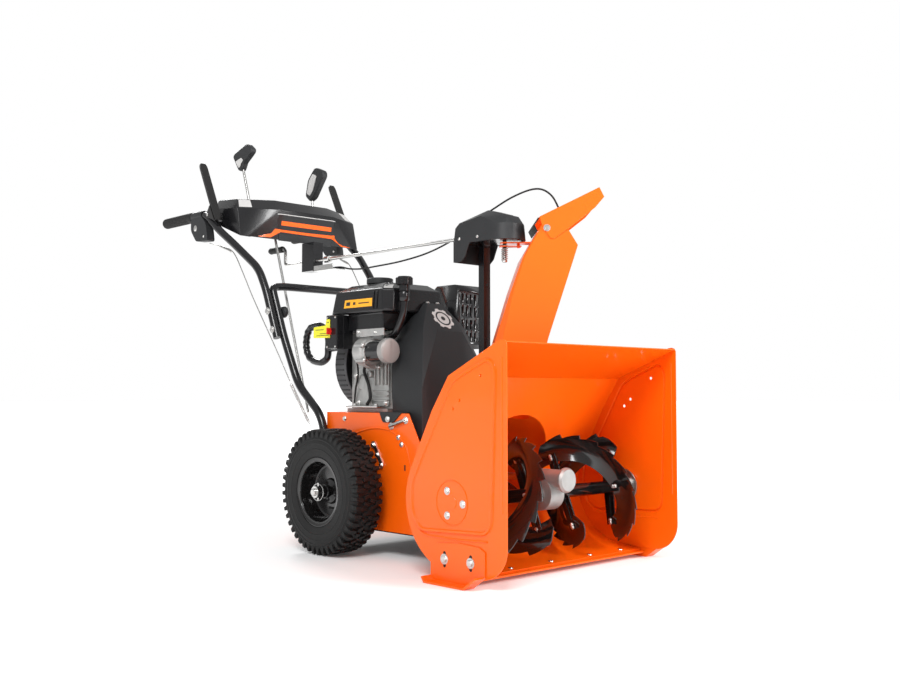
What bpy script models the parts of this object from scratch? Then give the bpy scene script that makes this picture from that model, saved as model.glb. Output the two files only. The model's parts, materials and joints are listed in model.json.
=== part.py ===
"""Two-stage walk-behind snow blower, as an assembly of separate solids.

Metres, +Z up. The machine faces -Y, its left side is +X, and it stands on Z = 0.
Every number below is measured from the wheel axle (Y = 0 there); the empty called
machine shifts the whole assembly so that the origin is the middle of its footprint.
"""
import math

import bmesh
import bpy
from mathutils import Matrix, Vector

# ---------------------------------------------------------------- driving dimensions
GAP = 0.0003                 # clearance between pieces that touch
SHEET = 0.0025               # sheet steel
AXLE_Y = -0.0905             # where the wheel axle is, seen from the middle of the footprint

TYRE_RADIUS = 0.163          # 13 x 4 tyre
TYRE_IN, TYRE_OUT = 0.192, 0.290
AXLE_RADIUS = 0.0095
AXLE_HALF = 0.301

FRAME_HALF = 0.165           # half width of the tractor frame
FRAME_TOP, FRAME_LOW = 0.367, 0.064
FRAME_BACK = 0.120
BULKHEAD_Y = -0.103

HEX_Y, HEX_Z = -0.026, 0.268  # friction drive shaft
PLATE_Z = HEX_Z               # friction drive plate, same height

HOUSING_HALF = 0.3115        # half width outside the side plates
WRAP_HALF = HOUSING_HALF - SHEET - GAP
AUGER_Y, AUGER_Z = -0.532, 0.178
AUGER_RADIUS = 0.140
WRAP_RADIUS = 0.154          # auger trough, outside
DRUM_Z = 0.213               # impeller axis height
DRUM_RADIUS = 0.155
DRUM_BACK = -0.262

CRANK_Z = 0.490              # engine shaft height
TRACTION_BELT_Y = -0.154
AUGER_BELT_Y = -0.197

CHUTE_Y = -0.400             # vertical axis of the discharge chute (X = 0)
CHUTE_TURN = 48.0            # how far the chute is turned to the machine's left, degrees
TUBE = 0.0115                # handlebar tube radius
GRIP_X = 0.250
ROD_Z = 0.826                # chute crank rod height


# ---------------------------------------------------------------- scene and materials
def clear_scene():
    for obj in list(bpy.data.objects):
        bpy.data.objects.remove(obj, do_unlink=True)


def make_material(name, colour, roughness, metallic=0.0):
    material = bpy.data.materials.new(name)
    material.use_nodes = True
    shader = material.node_tree.nodes["Principled BSDF"]
    shader.inputs["Base Color"].default_value = (*colour, 1.0)
    shader.inputs["Roughness"].default_value = roughness
    shader.inputs["Metallic"].default_value = metallic
    return material


clear_scene()
MACHINE = bpy.data.objects.new("machine", None)
MACHINE.location = (0.0, AXLE_Y, 0.0)
bpy.context.scene.collection.objects.link(MACHINE)
CHUTE_FRAME = bpy.data.objects.new("chute_frame", None)
CHUTE_FRAME.location = (0.0, CHUTE_Y, 0.0)
CHUTE_FRAME.rotation_euler.z = math.radians(CHUTE_TURN)
CHUTE_FRAME.parent = MACHINE
bpy.context.scene.collection.objects.link(CHUTE_FRAME)

ORANGE = make_material("orange_powder_coat", (0.90, 0.14, 0.01), 0.35)
BLACK_STEEL = make_material("black_gloss_steel", (0.012, 0.012, 0.013), 0.25, 0.2)
DARK_PLASTIC = make_material("dark_grey_plastic", (0.045, 0.045, 0.048), 0.55)
GLOSS_PLASTIC = make_material("black_gloss_plastic", (0.012, 0.012, 0.013), 0.3)
RUBBER = make_material("tyre_rubber", (0.014, 0.014, 0.014), 0.85)
ALLOY = make_material("cast_aluminium", (0.42, 0.42, 0.41), 0.5, 0.8)
ZINC = make_material("zinc_plated_steel", (0.60, 0.60, 0.60), 0.32, 1.0)
RED_PLASTIC = make_material("red_plastic", (0.65, 0.02, 0.01), 0.4)


# ---------------------------------------------------------------- shape helpers
AXIS_INDEX = {"X": 0, "Y": 1, "Z": 2}


def prism(outline, axis, low, high):
    """Extrude a flat outline along an axis: X takes (y, z), Y takes (x, z), Z takes (x, y)."""
    bm = bmesh.new()

    def point(pair, along):
        values = list(pair)
        values.insert(AXIS_INDEX[axis], along)
        return values

    near = [bm.verts.new(point(pair, low)) for pair in outline]
    far = [bm.verts.new(point(pair, high)) for pair in outline]
    bm.faces.new(near)
    bm.faces.new(far)
    for i in range(len(outline)):
        j = (i + 1) % len(outline)
        bm.faces.new((near[i], near[j], far[j], far[i]))
    return bm


def box(x0, x1, y0, y1, z0, z1):
    return prism([(x0, y0), (x1, y0), (x1, y1), (x0, y1)], "Z", z0, z1)


def hull(points):
    bm = bmesh.new()
    for point in points:
        bm.verts.new(point)
    result = bmesh.ops.convex_hull(bm, input=bm.verts)
    spare = {item for item in result["geom_unused"] + result["geom_interior"]
             if isinstance(item, bmesh.types.BMVert)}
    bmesh.ops.delete(bm, geom=list(spare), context="VERTS")
    return bm


def mirrored(points):
    """The points, and the same points on the other side of the machine."""
    return points + [(-x, y, z) for x, y, z in points]


def turn(profile, segments, origin=(0, 0, 0), axis="Z"):
    """Revolve (radius, along) pairs about an axis through origin.

    A profile that starts and ends on the axis makes a full solid, any other is a closed ring.
    """
    bm = bmesh.new()
    rings = []
    for radius, along in profile:
        if radius < 1e-7:
            rings.append([bm.verts.new((0, 0, along))])
            continue
        ring = []
        for k in range(segments):
            angle = math.tau * k / segments - math.pi / 2
            ring.append(bm.verts.new((radius * math.cos(angle), radius * math.sin(angle), along)))
        rings.append(ring)
    solid = len(rings[0]) == 1
    last = len(rings) - 1 if solid else len(rings)
    for i in range(last):
        first, second = rings[i], rings[(i + 1) % len(rings)]
        for k in range(segments):
            n = (k + 1) % segments
            face = [first[k % len(first)], first[n % len(first)],
                    second[n % len(second)], second[k % len(second)]]
            bm.faces.new(list(dict.fromkeys(face)))
    turns = {"X": Matrix(((0, 0, 1), (1, 0, 0), (0, 1, 0))),
             "Y": Matrix(((1, 0, 0), (0, 0, 1), (0, 1, 0))),
             "Z": Matrix.Identity(3)}
    bmesh.ops.transform(bm, matrix=turns[axis].to_4x4(), verts=bm.verts)
    bmesh.ops.translate(bm, verts=bm.verts, vec=Vector(origin))
    return bm


def rounded(points, radius, steps=4):
    """A polyline with its corners replaced by short curves."""
    points = [Vector(p) for p in points]
    path = [points[0]]
    for before, corner, after in zip(points, points[1:], points[2:]):
        reach = min(radius, (before - corner).length * 0.48, (after - corner).length * 0.48)
        start = corner + (before - corner).normalized() * reach
        end = corner + (after - corner).normalized() * reach
        for k in range(steps + 1):
            t = k / steps
            path.append(start.lerp(corner, t).lerp(corner.lerp(end, t), t))
    path.append(points[-1])
    return path


def sweep(path, radius, sides=10):
    """A round bar along a path; radius is one number or one for each point."""
    path = [Vector(p) for p in path]
    radii = radius if isinstance(radius, list) else [radius] * len(path)
    bm = bmesh.new()
    side = Vector((1, 0, 0))
    rings = []
    for i, point in enumerate(path):
        ahead = path[min(i + 1, len(path) - 1)] - point
        behind = point - path[max(i - 1, 0)]
        direction = (ahead.normalized() + behind.normalized()).normalized()
        if abs(side.dot(direction)) > 0.95:
            side = Vector((0, 1, 0)) if abs(direction.y) < 0.9 else Vector((0, 0, 1))
        side = (side - direction * side.dot(direction)).normalized()
        other = direction.cross(side)
        ring = []
        for k in range(sides):
            angle = math.tau * k / sides
            ring.append(bm.verts.new(point + (side * math.cos(angle) + other * math.sin(angle)) * radii[i]))
        rings.append(ring)
    for first, second in zip(rings, rings[1:]):
        for k in range(sides):
            n = (k + 1) % sides
            bm.faces.new((first[k], first[n], second[n], second[k]))
    bm.faces.new(rings[0])
    bm.faces.new(rings[-1])
    return bm


def circle(a, b, radius, count):
    """Points on a circle, none of them on its two centre lines."""
    angles = [math.tau * (i + 0.5) / count for i in range(count)]
    return [(a + radius * math.cos(angle), b + radius * math.sin(angle)) for angle in angles]


def arc(cy, cz, radius, start, end, steps):
    """Points on an arc in the side view; angles in degrees, 0 is +Y and 90 is up."""
    points = []
    for k in range(steps + 1):
        angle = math.radians(start + (end - start) * k / steps)
        points.append((cy + radius * math.cos(angle), cz + radius * math.sin(angle)))
    return points


def offset_line(points, distance):
    """Shift an open outline sideways, to the left of its direction."""
    shifted = []
    for i, point in enumerate(points):
        here = Vector(point)
        normals = []
        if i > 0:
            d = (here - Vector(points[i - 1])).normalized()
            normals.append(Vector((-d.y, d.x)))
        if i < len(points) - 1:
            d = (Vector(points[i + 1]) - here).normalized()
            normals.append(Vector((-d.y, d.x)))
        normal = sum(normals, Vector((0, 0))).normalized()
        shifted.append(tuple(here + normal * distance / normal.dot(normals[0])))
    return shifted


def gear(teeth, tip, root, low, high, origin):
    """A toothed disc about X."""
    outline = []
    for k in range(teeth):
        for part, radius in ((0.0, root), (0.45, root), (0.60, tip), (0.85, tip)):
            angle = math.tau * (k + part) / teeth
            outline.append((origin[0] + radius * math.cos(angle), origin[1] + radius * math.sin(angle)))
    return prism(outline, "X", low, high)


# ---------------------------------------------------------------- object helpers
def add(name, bm, material, pivot=(0, 0, 0), smooth=None, parent=MACHINE):
    """Make one named piece, with its origin on pivot (its joint axis when it moves)."""
    bmesh.ops.recalc_face_normals(bm, faces=bm.faces)
    bmesh.ops.translate(bm, verts=bm.verts, vec=-Vector(pivot))
    mesh = bpy.data.meshes.new(name)
    bm.to_mesh(mesh)
    bm.free()
    mesh.materials.append(material)
    obj = bpy.data.objects.new(name, mesh)
    obj.location = pivot
    obj.parent = parent
    bpy.context.scene.collection.objects.link(obj)
    if smooth:
        mesh.shade_smooth()
        mesh.set_sharp_from_angle(angle=math.radians(smooth))
    return obj


def combine(obj, operation, *tools):
    """Boolean each tool shape into the piece."""
    for bm in tools:
        tool = add(f"{obj.name}_tool", bm, obj.data.materials[0], parent=obj.parent)
        tool.hide_render = True
        tool.display_type = "WIRE"
        modifier = obj.modifiers.new(operation.lower(), "BOOLEAN")
        modifier.operation = operation
        modifier.solver = "EXACT"
        modifier.object = tool
    return obj


def fuse(obj, *tools):
    return combine(obj, "UNION", *tools)


def cut(obj, *tools):
    return combine(obj, "DIFFERENCE", *tools)


def rod(radius, low, high, origin, axis, segments=16):
    return turn([(0, low), (radius, low), (radius, high), (0, high)], segments, origin, axis)


# ---------------------------------------------------------------- wheels and drive
def wheels():
    hub_inner = AXLE_RADIUS + GAP
    for tag, side in (("R", -1), ("L", 1)):
        rim = [(hub_inner, 0.215), (hub_inner, 0.292), (0.016, 0.292), (0.016, 0.2405),
               (0.0735, 0.2405), (0.0755, 0.2855), (0.090, 0.2855), (0.090, 0.2830),
               (0.078, 0.2830), (0.078, 0.2000), (0.090, 0.2000), (0.090, 0.1975),
               (0.0755, 0.1975), (0.0735, 0.2380), (0.016, 0.2380), (0.016, 0.215)]
        tyre = [(0.0783, 0.2003), (0.0903, 0.2003), (0.0915, 0.1950), (0.110, TYRE_IN),
                (0.140, 0.1930), (0.155, 0.1975), (TYRE_RADIUS, 0.207), (TYRE_RADIUS, 0.276),
                (0.155, 0.2850), (0.140, 0.2895), (0.110, TYRE_OUT), (0.0915, 0.2875),
                (0.0903, 0.2827), (0.0783, 0.2827)]
        centre = (0, 0, TYRE_RADIUS)
        add(f"rim_{tag}", turn([(r, side * x) for r, x in rim], 24, centre, "X"),
            BLACK_STEEL, centre, 35)
        add(f"tyre_{tag}", turn([(r, side * x) for r, x in tyre], 36, centre, "X"),
            RUBBER, centre, 40)


def drive_train():
    centre = (0, 0, TYRE_RADIUS)
    chamfer = 0.002
    axle = [(0, -AXLE_HALF), (AXLE_RADIUS - chamfer, -AXLE_HALF), (AXLE_RADIUS, -AXLE_HALF + chamfer),
            (AXLE_RADIUS, AXLE_HALF - chamfer), (AXLE_RADIUS - chamfer, AXLE_HALF), (0, AXLE_HALF)]
    axle = add("drive_axle", turn(axle, 16, centre, "X"), ZINC, centre, 40)
    fuse(axle, gear(36, 0.0855, 0.0790, 0.108, 0.118, (0, TYRE_RADIUS)))

    across = 0.008 / math.cos(math.pi / 6)
    hexagon = [(HEX_Y + across * math.cos(math.radians(a)), HEX_Z + across * math.sin(math.radians(a)))
               for a in range(0, 360, 60)]
    pivot = (0, HEX_Y, HEX_Z)
    shaft = add("hex_shaft", prism(hexagon, "X", -0.148, 0.148), ZINC, pivot)
    fuse(shaft, rod(0.0070, -0.164, 0.164, pivot, "X", 12),
         gear(9, 0.0222, 0.0170, 0.108, 0.118, (HEX_Y, HEX_Z)))

    bore = across + 0.0004
    wheel = [(bore, -0.014), (0.018, -0.014), (0.018, -0.003), (0.056, -0.003), (0.058, -0.007),
             (0.064, -0.007), (0.064, 0.007), (0.058, 0.007), (0.056, 0.003), (0.018, 0.003),
             (0.018, 0.014), (bore, 0.014)]
    add("friction_wheel", turn(wheel, 28, pivot, "X"), RUBBER, pivot, 40)

    half, lip = 0.005, 0.003
    groove = TRACTION_BELT_Y
    plate = [(0, -0.0905), (0.072, -0.0905), (0.072, -0.0975), (0.008, -0.0975),
             (0.008, groove + half + lip), (0.050, groove + half + lip), (0.050, groove + half),
             (0.042, groove + half), (0.042, groove - half), (0.050, groove - half),
             (0.050, groove - half - lip), (0.008, groove - half - lip), (0.008, -0.170), (0, -0.170)]
    axis = (0, 0, PLATE_Z)
    add("drive_plate", turn(plate, 28, axis, "Y"), ALLOY, axis, 40)


def belt(name, y, top, top_radius, low, low_radius, material):
    """A flat-sided loop round two pulleys, one above the other."""
    half, thick, clear, steps_up, steps_down = 0.0045, 0.0070, 0.0004, 10, 14
    lean = math.asin((low_radius - top_radius) / (top - low))
    loops = []
    for extra in (clear, clear + thick):
        loop = []
        for centre, radius, start, turned, steps in (
                (top, top_radius, lean, math.pi - 2 * lean, steps_up),
                (low, low_radius, math.pi - lean, math.pi + 2 * lean, steps_down)):
            reach = (radius + extra) / math.cos(turned / steps / 2)
            for k in range(steps + 1):
                angle = start + turned * k / steps
                loop.append((reach * math.cos(angle), centre + reach * math.sin(angle)))
        loops.append(loop)
    bm = bmesh.new()
    corners = []
    for loop, along in ((loops[0], y - half), (loops[1], y - half), (loops[1], y + half),
                        (loops[0], y + half)):
        corners.append([bm.verts.new((x, along, z)) for x, z in loop])
    count = len(loops[0])
    for i in range(4):
        first, second = corners[i], corners[(i + 1) % 4]
        for k in range(count):
            n = (k + 1) % count
            bm.faces.new((first[k], first[n], second[n], second[k]))
    add(name, bm, material)


def belts_and_crank():
    half, lip = 0.005, 0.003
    shaft, groove_t, groove_a = 0.0127, 0.030, 0.032
    flange = 0.040
    profile = [(0, 0.080), (shaft, 0.080)]
    for y, groove in ((TRACTION_BELT_Y, groove_t), (AUGER_BELT_Y, groove_a)):
        profile += [(shaft, y + half + lip), (flange, y + half + lip), (flange, y + half),
                    (groove, y + half), (groove, y - half), (flange, y - half),
                    (flange, y - half - lip), (shaft, y - half - lip)]
    profile += [(shaft, -0.212), (0, -0.212)]
    axis = (0, 0, CRANK_Z)
    add("crankshaft_pulley", turn(profile, 20, axis, "Y"), ZINC, axis, 40)
    belt("traction_belt", TRACTION_BELT_Y, CRANK_Z, groove_t, PLATE_Z, 0.042, RUBBER)
    belt("auger_belt", AUGER_BELT_Y, CRANK_Z, groove_a, DRUM_Z, 0.085, RUBBER)


# ---------------------------------------------------------------- tractor frame
def wrap_line():
    """Outside of the auger trough, from the top lip, down its back and under to the scraper."""
    low = math.degrees(math.asin((0.248 - AUGER_Z) / WRAP_RADIUS))
    return ([(-0.695, 0.530), (-0.519, 0.458), (-0.465, 0.379)]
            + arc(AUGER_Y, AUGER_Z, WRAP_RADIUS, low, -90, 12) + [(-0.585, 0.0175)])


def wrap_keep_out():
    """Everything in front of the trough, grown a little, for cutting what meets it."""
    line = offset_line(wrap_line(), GAP + 0.0002)
    return prism(line + [(-0.90, line[-1][1]), (-0.90, line[0][1])], "X", -0.4, 0.4)


def tractor_frame():
    side_view = [(FRAME_BACK, FRAME_LOW), (FRAME_BACK, FRAME_TOP), (-0.220, FRAME_TOP),
                 (-0.263, 0.294), (-0.440, 0.286), (-0.440, FRAME_LOW)]
    inner = FRAME_HALF - SHEET
    frame = add("tractor_frame", prism(side_view, "X", -FRAME_HALF, FRAME_HALF), ORANGE)
    cut(frame,
        box(-inner, inner, BULKHEAD_Y + SHEET, FRAME_BACK - SHEET, 0.0, FRAME_TOP - SHEET),
        box(-inner, inner, -0.60, BULKHEAD_Y, 0.0, 0.50),
        wrap_keep_out())
    axle, shaft = (0, 0, TYRE_RADIUS), (0, HEX_Y, HEX_Z)
    cut(frame, rod(0.014, -0.2, 0.2, axle, "X"), rod(0.011, -0.2, 0.2, shaft, "X"),
        rod(0.0084, -0.12, -0.08, (0, 0, PLATE_Z), "Y"))
    for side in (-1, 1):
        for bore, outer, origin in ((AXLE_RADIUS + GAP, 0.018, axle), (0.0073, 0.015, shaft)):
            ring = [(bore, 0.151), (outer, 0.151), (outer, 0.164), (bore, 0.164)]
            fuse(frame, turn([(r, side * x) for r, x in ring], 16, origin, "X"))

    add("belly_pan", box(-FRAME_HALF, FRAME_HALF, -0.258, FRAME_BACK, 0.0612, FRAME_LOW - GAP), BLACK_STEEL)


# ---------------------------------------------------------------- auger housing
def side_outline():
    low = math.degrees(math.asin((0.248 - AUGER_Z) / WRAP_RADIUS))
    rear = arc(AUGER_Y, AUGER_Z, WRAP_RADIUS, low, -78, 11)
    toe = arc(-0.628, 0.093, 0.070, -90, -180, 5)
    return [(-0.698, 0.530), (-0.680, 0.535), (-0.519, 0.458), (-0.465, 0.379)] + rear + toe


def auger_housing():
    outside = wrap_line()
    inside = offset_line(outside, -SHEET)
    wrap = add("housing_wrap", prism(outside + inside[::-1], "X", -WRAP_HALF, WRAP_HALF), ORANGE)
    cut(wrap, rod(DRUM_RADIUS - SHEET, -0.50, -0.36, (0, 0, DRUM_Z), "Y", 36))

    for tag, side in (("R", -1), ("L", 1)):
        add(f"side_plate_{tag}",
            prism(side_outline(), "X", side * (HOUSING_HALF - SHEET), side * HOUSING_HALF), ORANGE)

    slope = (0.024 - 0.0175) / (0.585 - 0.532)
    edge = []
    for y, drop in ((-0.540, 0.0), (-0.598, 0.0), (-0.598, 0.0045), (-0.540, 0.0060)):
        edge.append((y, 0.024 + slope * (y + 0.532) - GAP - drop))
    add("scraper_bar", prism(edge, "X", -0.305, 0.305), ORANGE)

    drum = add("impeller_drum", rod(DRUM_RADIUS, -0.50, DRUM_BACK, (0, 0, DRUM_Z), "Y", 36),
               ORANGE, smooth=35)
    low, top, radius = 0.300, 0.404, 0.0635
    fuse(drum, prism(circle(0, CHUTE_Y, radius, 24), "Z", low, top))
    cut(drum, wrap_keep_out(),
        prism(circle(0, CHUTE_Y, radius - SHEET, 24), "Z", low - 0.01, top + 0.01),
        rod(DRUM_RADIUS - SHEET, -0.52, DRUM_BACK - SHEET, (0, 0, DRUM_Z), "Y", 36))
    fuse(drum, turn([(0.0105, -0.275), (0.0200, -0.275), (0.0200, -0.250), (0.0105, -0.250)],
                    16, (0, 0, DRUM_Z), "Y"))
    cut(drum, rod(0.0100, -0.30, -0.24, (0, 0, DRUM_Z), "Y"))


def skid_shoes():
    cheek = [(-0.466, 0.012), (-0.466, 0.074), (-0.486, 0.086), (-0.558, 0.092), (-0.618, 0.089),
             (-0.636, 0.080), (-0.636, 0.026), (-0.600, 0.0), (-0.475, 0.0)]
    thick = 0.004
    runner = [(-0.466, 0.012), (-0.475, 0.0), (-0.600, 0.0), (-0.636, 0.026)]
    runner += offset_line(runner, -thick)[::-1]
    inner, face, lip = HOUSING_HALF + GAP, HOUSING_HALF + 0.0033, 0.345
    for tag, side in (("R", -1), ("L", 1)):
        shoe = add(f"skid_shoe_{tag}", prism(cheek, "X", side * inner, side * face), ORANGE)
        fuse(shoe, prism(runner, "X", side * (inner + 0.0005), side * lip))
        for y in (-0.511, -0.593):
            slot = arc(y, 0.066, 0.0048, 0, 180, 4) + arc(y, 0.039, 0.0048, 180, 360, 4)
            cut(shoe, prism(slot, "X", side * (inner - 0.002), side * (face + 0.002)))


# ---------------------------------------------------------------- augers and impeller
def ribbon(inner, outer, x0, x1, start, sweep_angle, steps, thick=0.004):
    """One helical flight: a flat ribbon that winds about the auger axis."""
    bm = bmesh.new()
    rings = []
    for k in range(steps + 1):
        t = k / steps
        angle = math.radians(start + sweep_angle * t)
        x = x0 + (x1 - x0) * t
        ring = []
        for radius, shift in ((inner, -thick / 2), (outer, -thick / 2), (outer, thick / 2),
                              (inner, thick / 2)):
            ring.append(bm.verts.new((x + shift, AUGER_Y + radius * math.cos(angle),
                                      AUGER_Z + radius * math.sin(angle))))
        rings.append(ring)
    for first, second in zip(rings, rings[1:]):
        for k in range(4):
            n = (k + 1) % 4
            bm.faces.new((first[k], first[n], second[n], second[k]))
    bm.faces.new(rings[0])
    bm.faces.new(rings[-1])
    return bm


def spoke(x, angle, reach, half_width=0.014, thick=0.004):
    """A flat bar from the auger tube out to a flight."""
    turned = math.radians(angle)
    along = Vector((math.cos(turned), math.sin(turned)))
    across = Vector((-along.y, along.x)) * half_width
    centre = Vector((AUGER_Y, AUGER_Z))
    start, end = centre + along * 0.0155, centre + along * reach
    outline = [tuple(start - across), tuple(end - across), tuple(end + across), tuple(start + across)]
    return prism(outline, "X", x - thick / 2, x + thick / 2)


FLIGHT_IN, FLIGHT_OUT = 0.043, 0.258
FLIGHT_START, FLIGHT_TURN = (44.0, 224.0), 232.0


def augers():
    centre = (0, AUGER_Y, AUGER_Z)
    shaft = 0.0125
    auger_shaft = add("auger_shaft", rod(shaft, -0.3080, 0.3080, centre, "X"), ZINC, centre, 40)
    fuse(auger_shaft, rod(0.0232, -0.008, 0.008, centre, "X", 24))
    tube = [(shaft + GAP, 0.0300), (0.0170, 0.0300), (0.0170, 0.2855), (shaft + GAP, 0.2855)]
    for tag, side in (("R", -1), ("L", 1)):
        rake = add(f"auger_rake_{tag}", turn([(r, side * x) for r, x in tube], 16, centre, "X"),
                   BLACK_STEEL, centre)
        for start in FLIGHT_START:
            fuse(rake, ribbon(0.076, AUGER_RADIUS, side * FLIGHT_IN, side * FLIGHT_OUT,
                              start, FLIGHT_TURN, 18))
            for t in (0.12, 0.55, 0.97):
                fuse(rake, spoke(side * (FLIGHT_IN + (FLIGHT_OUT - FLIGHT_IN) * t),
                                 start + FLIGHT_TURN * t, 0.094))

        bearing = [(shaft + GAP, 0.2860), (0.0210, 0.2860), (0.0210, 0.3055), (0.0450, 0.3055),
                   (0.0450, WRAP_HALF), (shaft + GAP, WRAP_HALF)]
        add(f"auger_bearing_{tag}", turn([(r, side * x) for r, x in bearing], 24, centre, "X"), ZINC,
            smooth=40)


def gearbox_and_impeller():
    axis = (0, 0, DRUM_Z)
    shaft = 0.0095
    front, back = -0.606, -0.474
    box_centre = (0, AUGER_Y, AUGER_Z)
    gearbox = add("auger_gearbox", rod(0.040, -0.024, 0.024, box_centre, "X", 22), ALLOY, smooth=40)
    fuse(gearbox, rod(0.0165, -0.029, 0.029, box_centre, "X"),
         turn([(0, front), (0.026, front), (0.030, front + 0.006), (0.030, front + 0.012),
               (0.024, front + 0.018), (0.024, back + 0.01), (0.019, back), (0, back)], 18, axis, "Y"))
    cut(gearbox, rod(0.0275, -0.0165, 0.0165, box_centre, "X", 18),
        rod(0.0150, front + 0.010, back + 0.012, axis, "Y"),
        rod(0.0129, -0.05, 0.05, box_centre, "X"),
        rod(shaft + GAP + 0.0002, back, back + 0.05, axis, "Y"))

    half, lip, groove = 0.005, 0.003, 0.085
    y = AUGER_BELT_Y
    profile = [(0, front + 0.012), (shaft, front + 0.012), (shaft, -0.549), (0.0108, -0.549),
               (0.0108, -0.515), (shaft, -0.515), (shaft, y - half - lip), (groove + 0.007, y - half - lip),
               (groove + 0.007, y - half), (groove, y - half), (groove, y + half),
               (groove + 0.007, y + half), (groove + 0.007, y + half + lip), (shaft, y + half + lip),
               (shaft, -0.178), (0, -0.178)]
    add("impeller_shaft", turn(profile, 28, axis, "Y"), ZINC, axis, 40)

    hub = [(shaft + GAP, -0.378), (0.0180, -0.378), (0.0180, -0.284), (shaft + GAP, -0.284)]
    impeller = add("impeller", turn(hub, 16, axis, "Y"), ORANGE, axis)
    for k in range(3):
        angle = math.radians(90 + 120 * k)
        along = Vector((math.cos(angle), math.sin(angle)))
        across = Vector((-along.y, along.x))
        centre = Vector((0, DRUM_Z))
        outline = [centre + along * 0.0165 - across * 0.0015, centre + along * 0.138 - across * 0.0015,
                   centre + along * 0.1465 + across * 0.014, centre + along * 0.1440 + across * 0.0155,
                   centre + along * 0.1365 + across * 0.0015, centre + along * 0.0165 + across * 0.0015]
        fuse(impeller, prism([tuple(p) for p in outline], "Y", -0.376, -0.286))


# ---------------------------------------------------------------- chute
def chute():
    """Discharge chute and its deflector, in a frame on the chute's own axis: forward is -Y."""
    ring_radius, half = 0.0672, 0.0735
    foot = []
    for degrees in (38, 78, 108, 142):
        angle = math.radians(degrees)
        foot.append((ring_radius * math.sin(angle), ring_radius * math.cos(angle), 0.405))
    levels = [
        foot,
        [(0.0715, 0.082, 0.480), (0.0730, 0.035, 0.480), (0.0715, -0.020, 0.480), (0.046, -0.047, 0.480)],
        [(half, 0.101, 0.555), (half, 0.045, 0.555), (half, -0.010, 0.555), (0.052, -0.025, 0.555)],
        [(half, 0.139, 0.671), (half, 0.075, 0.671), (half, 0.017, 0.671), (0.067, 0.011, 0.671)],
        [(half, 0.166, 0.755), (half, 0.100, 0.760), (half, 0.045, 0.755), (0.070, 0.041, 0.755)],
        [(half, 0.175, 0.784), (half, 0.152, 0.822), (half, 0.090, 0.838), (0.070, 0.084, 0.830)],
    ]
    bm = bmesh.new()
    rows = []
    for level in levels:
        right = [(x, -forward, z) for x, forward, z in level]
        left = [(-x, y, z) for x, y, z in reversed(right)]
        rows.append([bm.verts.new(p) for p in right + left])
    for low, high in zip(rows, rows[1:]):
        for k in range(len(low) - 1):
            bm.faces.new((low[k], low[k + 1], high[k + 1], high[k]))
    obj = add("chute", bm, ORANGE, parent=CHUTE_FRAME)
    wall = obj.modifiers.new("wall", "SOLIDIFY")
    wall.thickness = SHEET
    wall.offset = 0.0
    wall.use_even_offset = True
    ring = turn([(0.0640, 0.398), (0.0705, 0.398), (0.0705, 0.412), (0.0640, 0.412)], 28)
    arm = [(-0.020, -0.0665), (0.020, -0.0665), (0.016, 0.004), (0.008, 0.012), (-0.008, 0.012),
           (-0.016, 0.004)]
    fuse(obj, ring, prism(arm, "Z", 0.7965, 0.7995), box(-0.011, 0.011, -0.042, 0.013, 0.7880, 0.7910),
         rod(0.0040, 0.7860, 0.8015, (0, -0.035, 0), "Z", 10))
    cut(obj, rod(0.0056, 0.77, 0.82, (0, 0, 0), "Z", 12))

    hinge = (0, -0.098, 0.826)
    outer = [(-0.080, 0.854), (-0.229, 0.928), (-0.241, 0.904), (-0.218, 0.877), (-0.152, 0.825),
             (-0.115, 0.799), (-0.106, 0.801), (-0.086, 0.832)]
    hollow = [(-0.050, 0.836), (-0.2277, 0.9247), (-0.2383, 0.9045), (-0.2300, 0.70), (-0.050, 0.70)]
    width = half + SHEET / 2 + 2 * GAP + SHEET
    deflector = add("deflector", prism(outer, "X", -width, width), ORANGE, hinge, parent=CHUTE_FRAME)
    cut(deflector, prism(hollow, "X", -(width - SHEET), width - SHEET))


def stadium(half, back, radius, count=8):
    """Plan outline: straight sides from back to the chute axis, then a round nose about it."""
    nose = []
    for k in range(count + 1):
        angle = math.pi * k / count
        nose.append((radius * math.cos(angle), CHUTE_Y - radius * math.sin(angle)))
    return [(half, back)] + nose + [(-half, back)]


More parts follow.
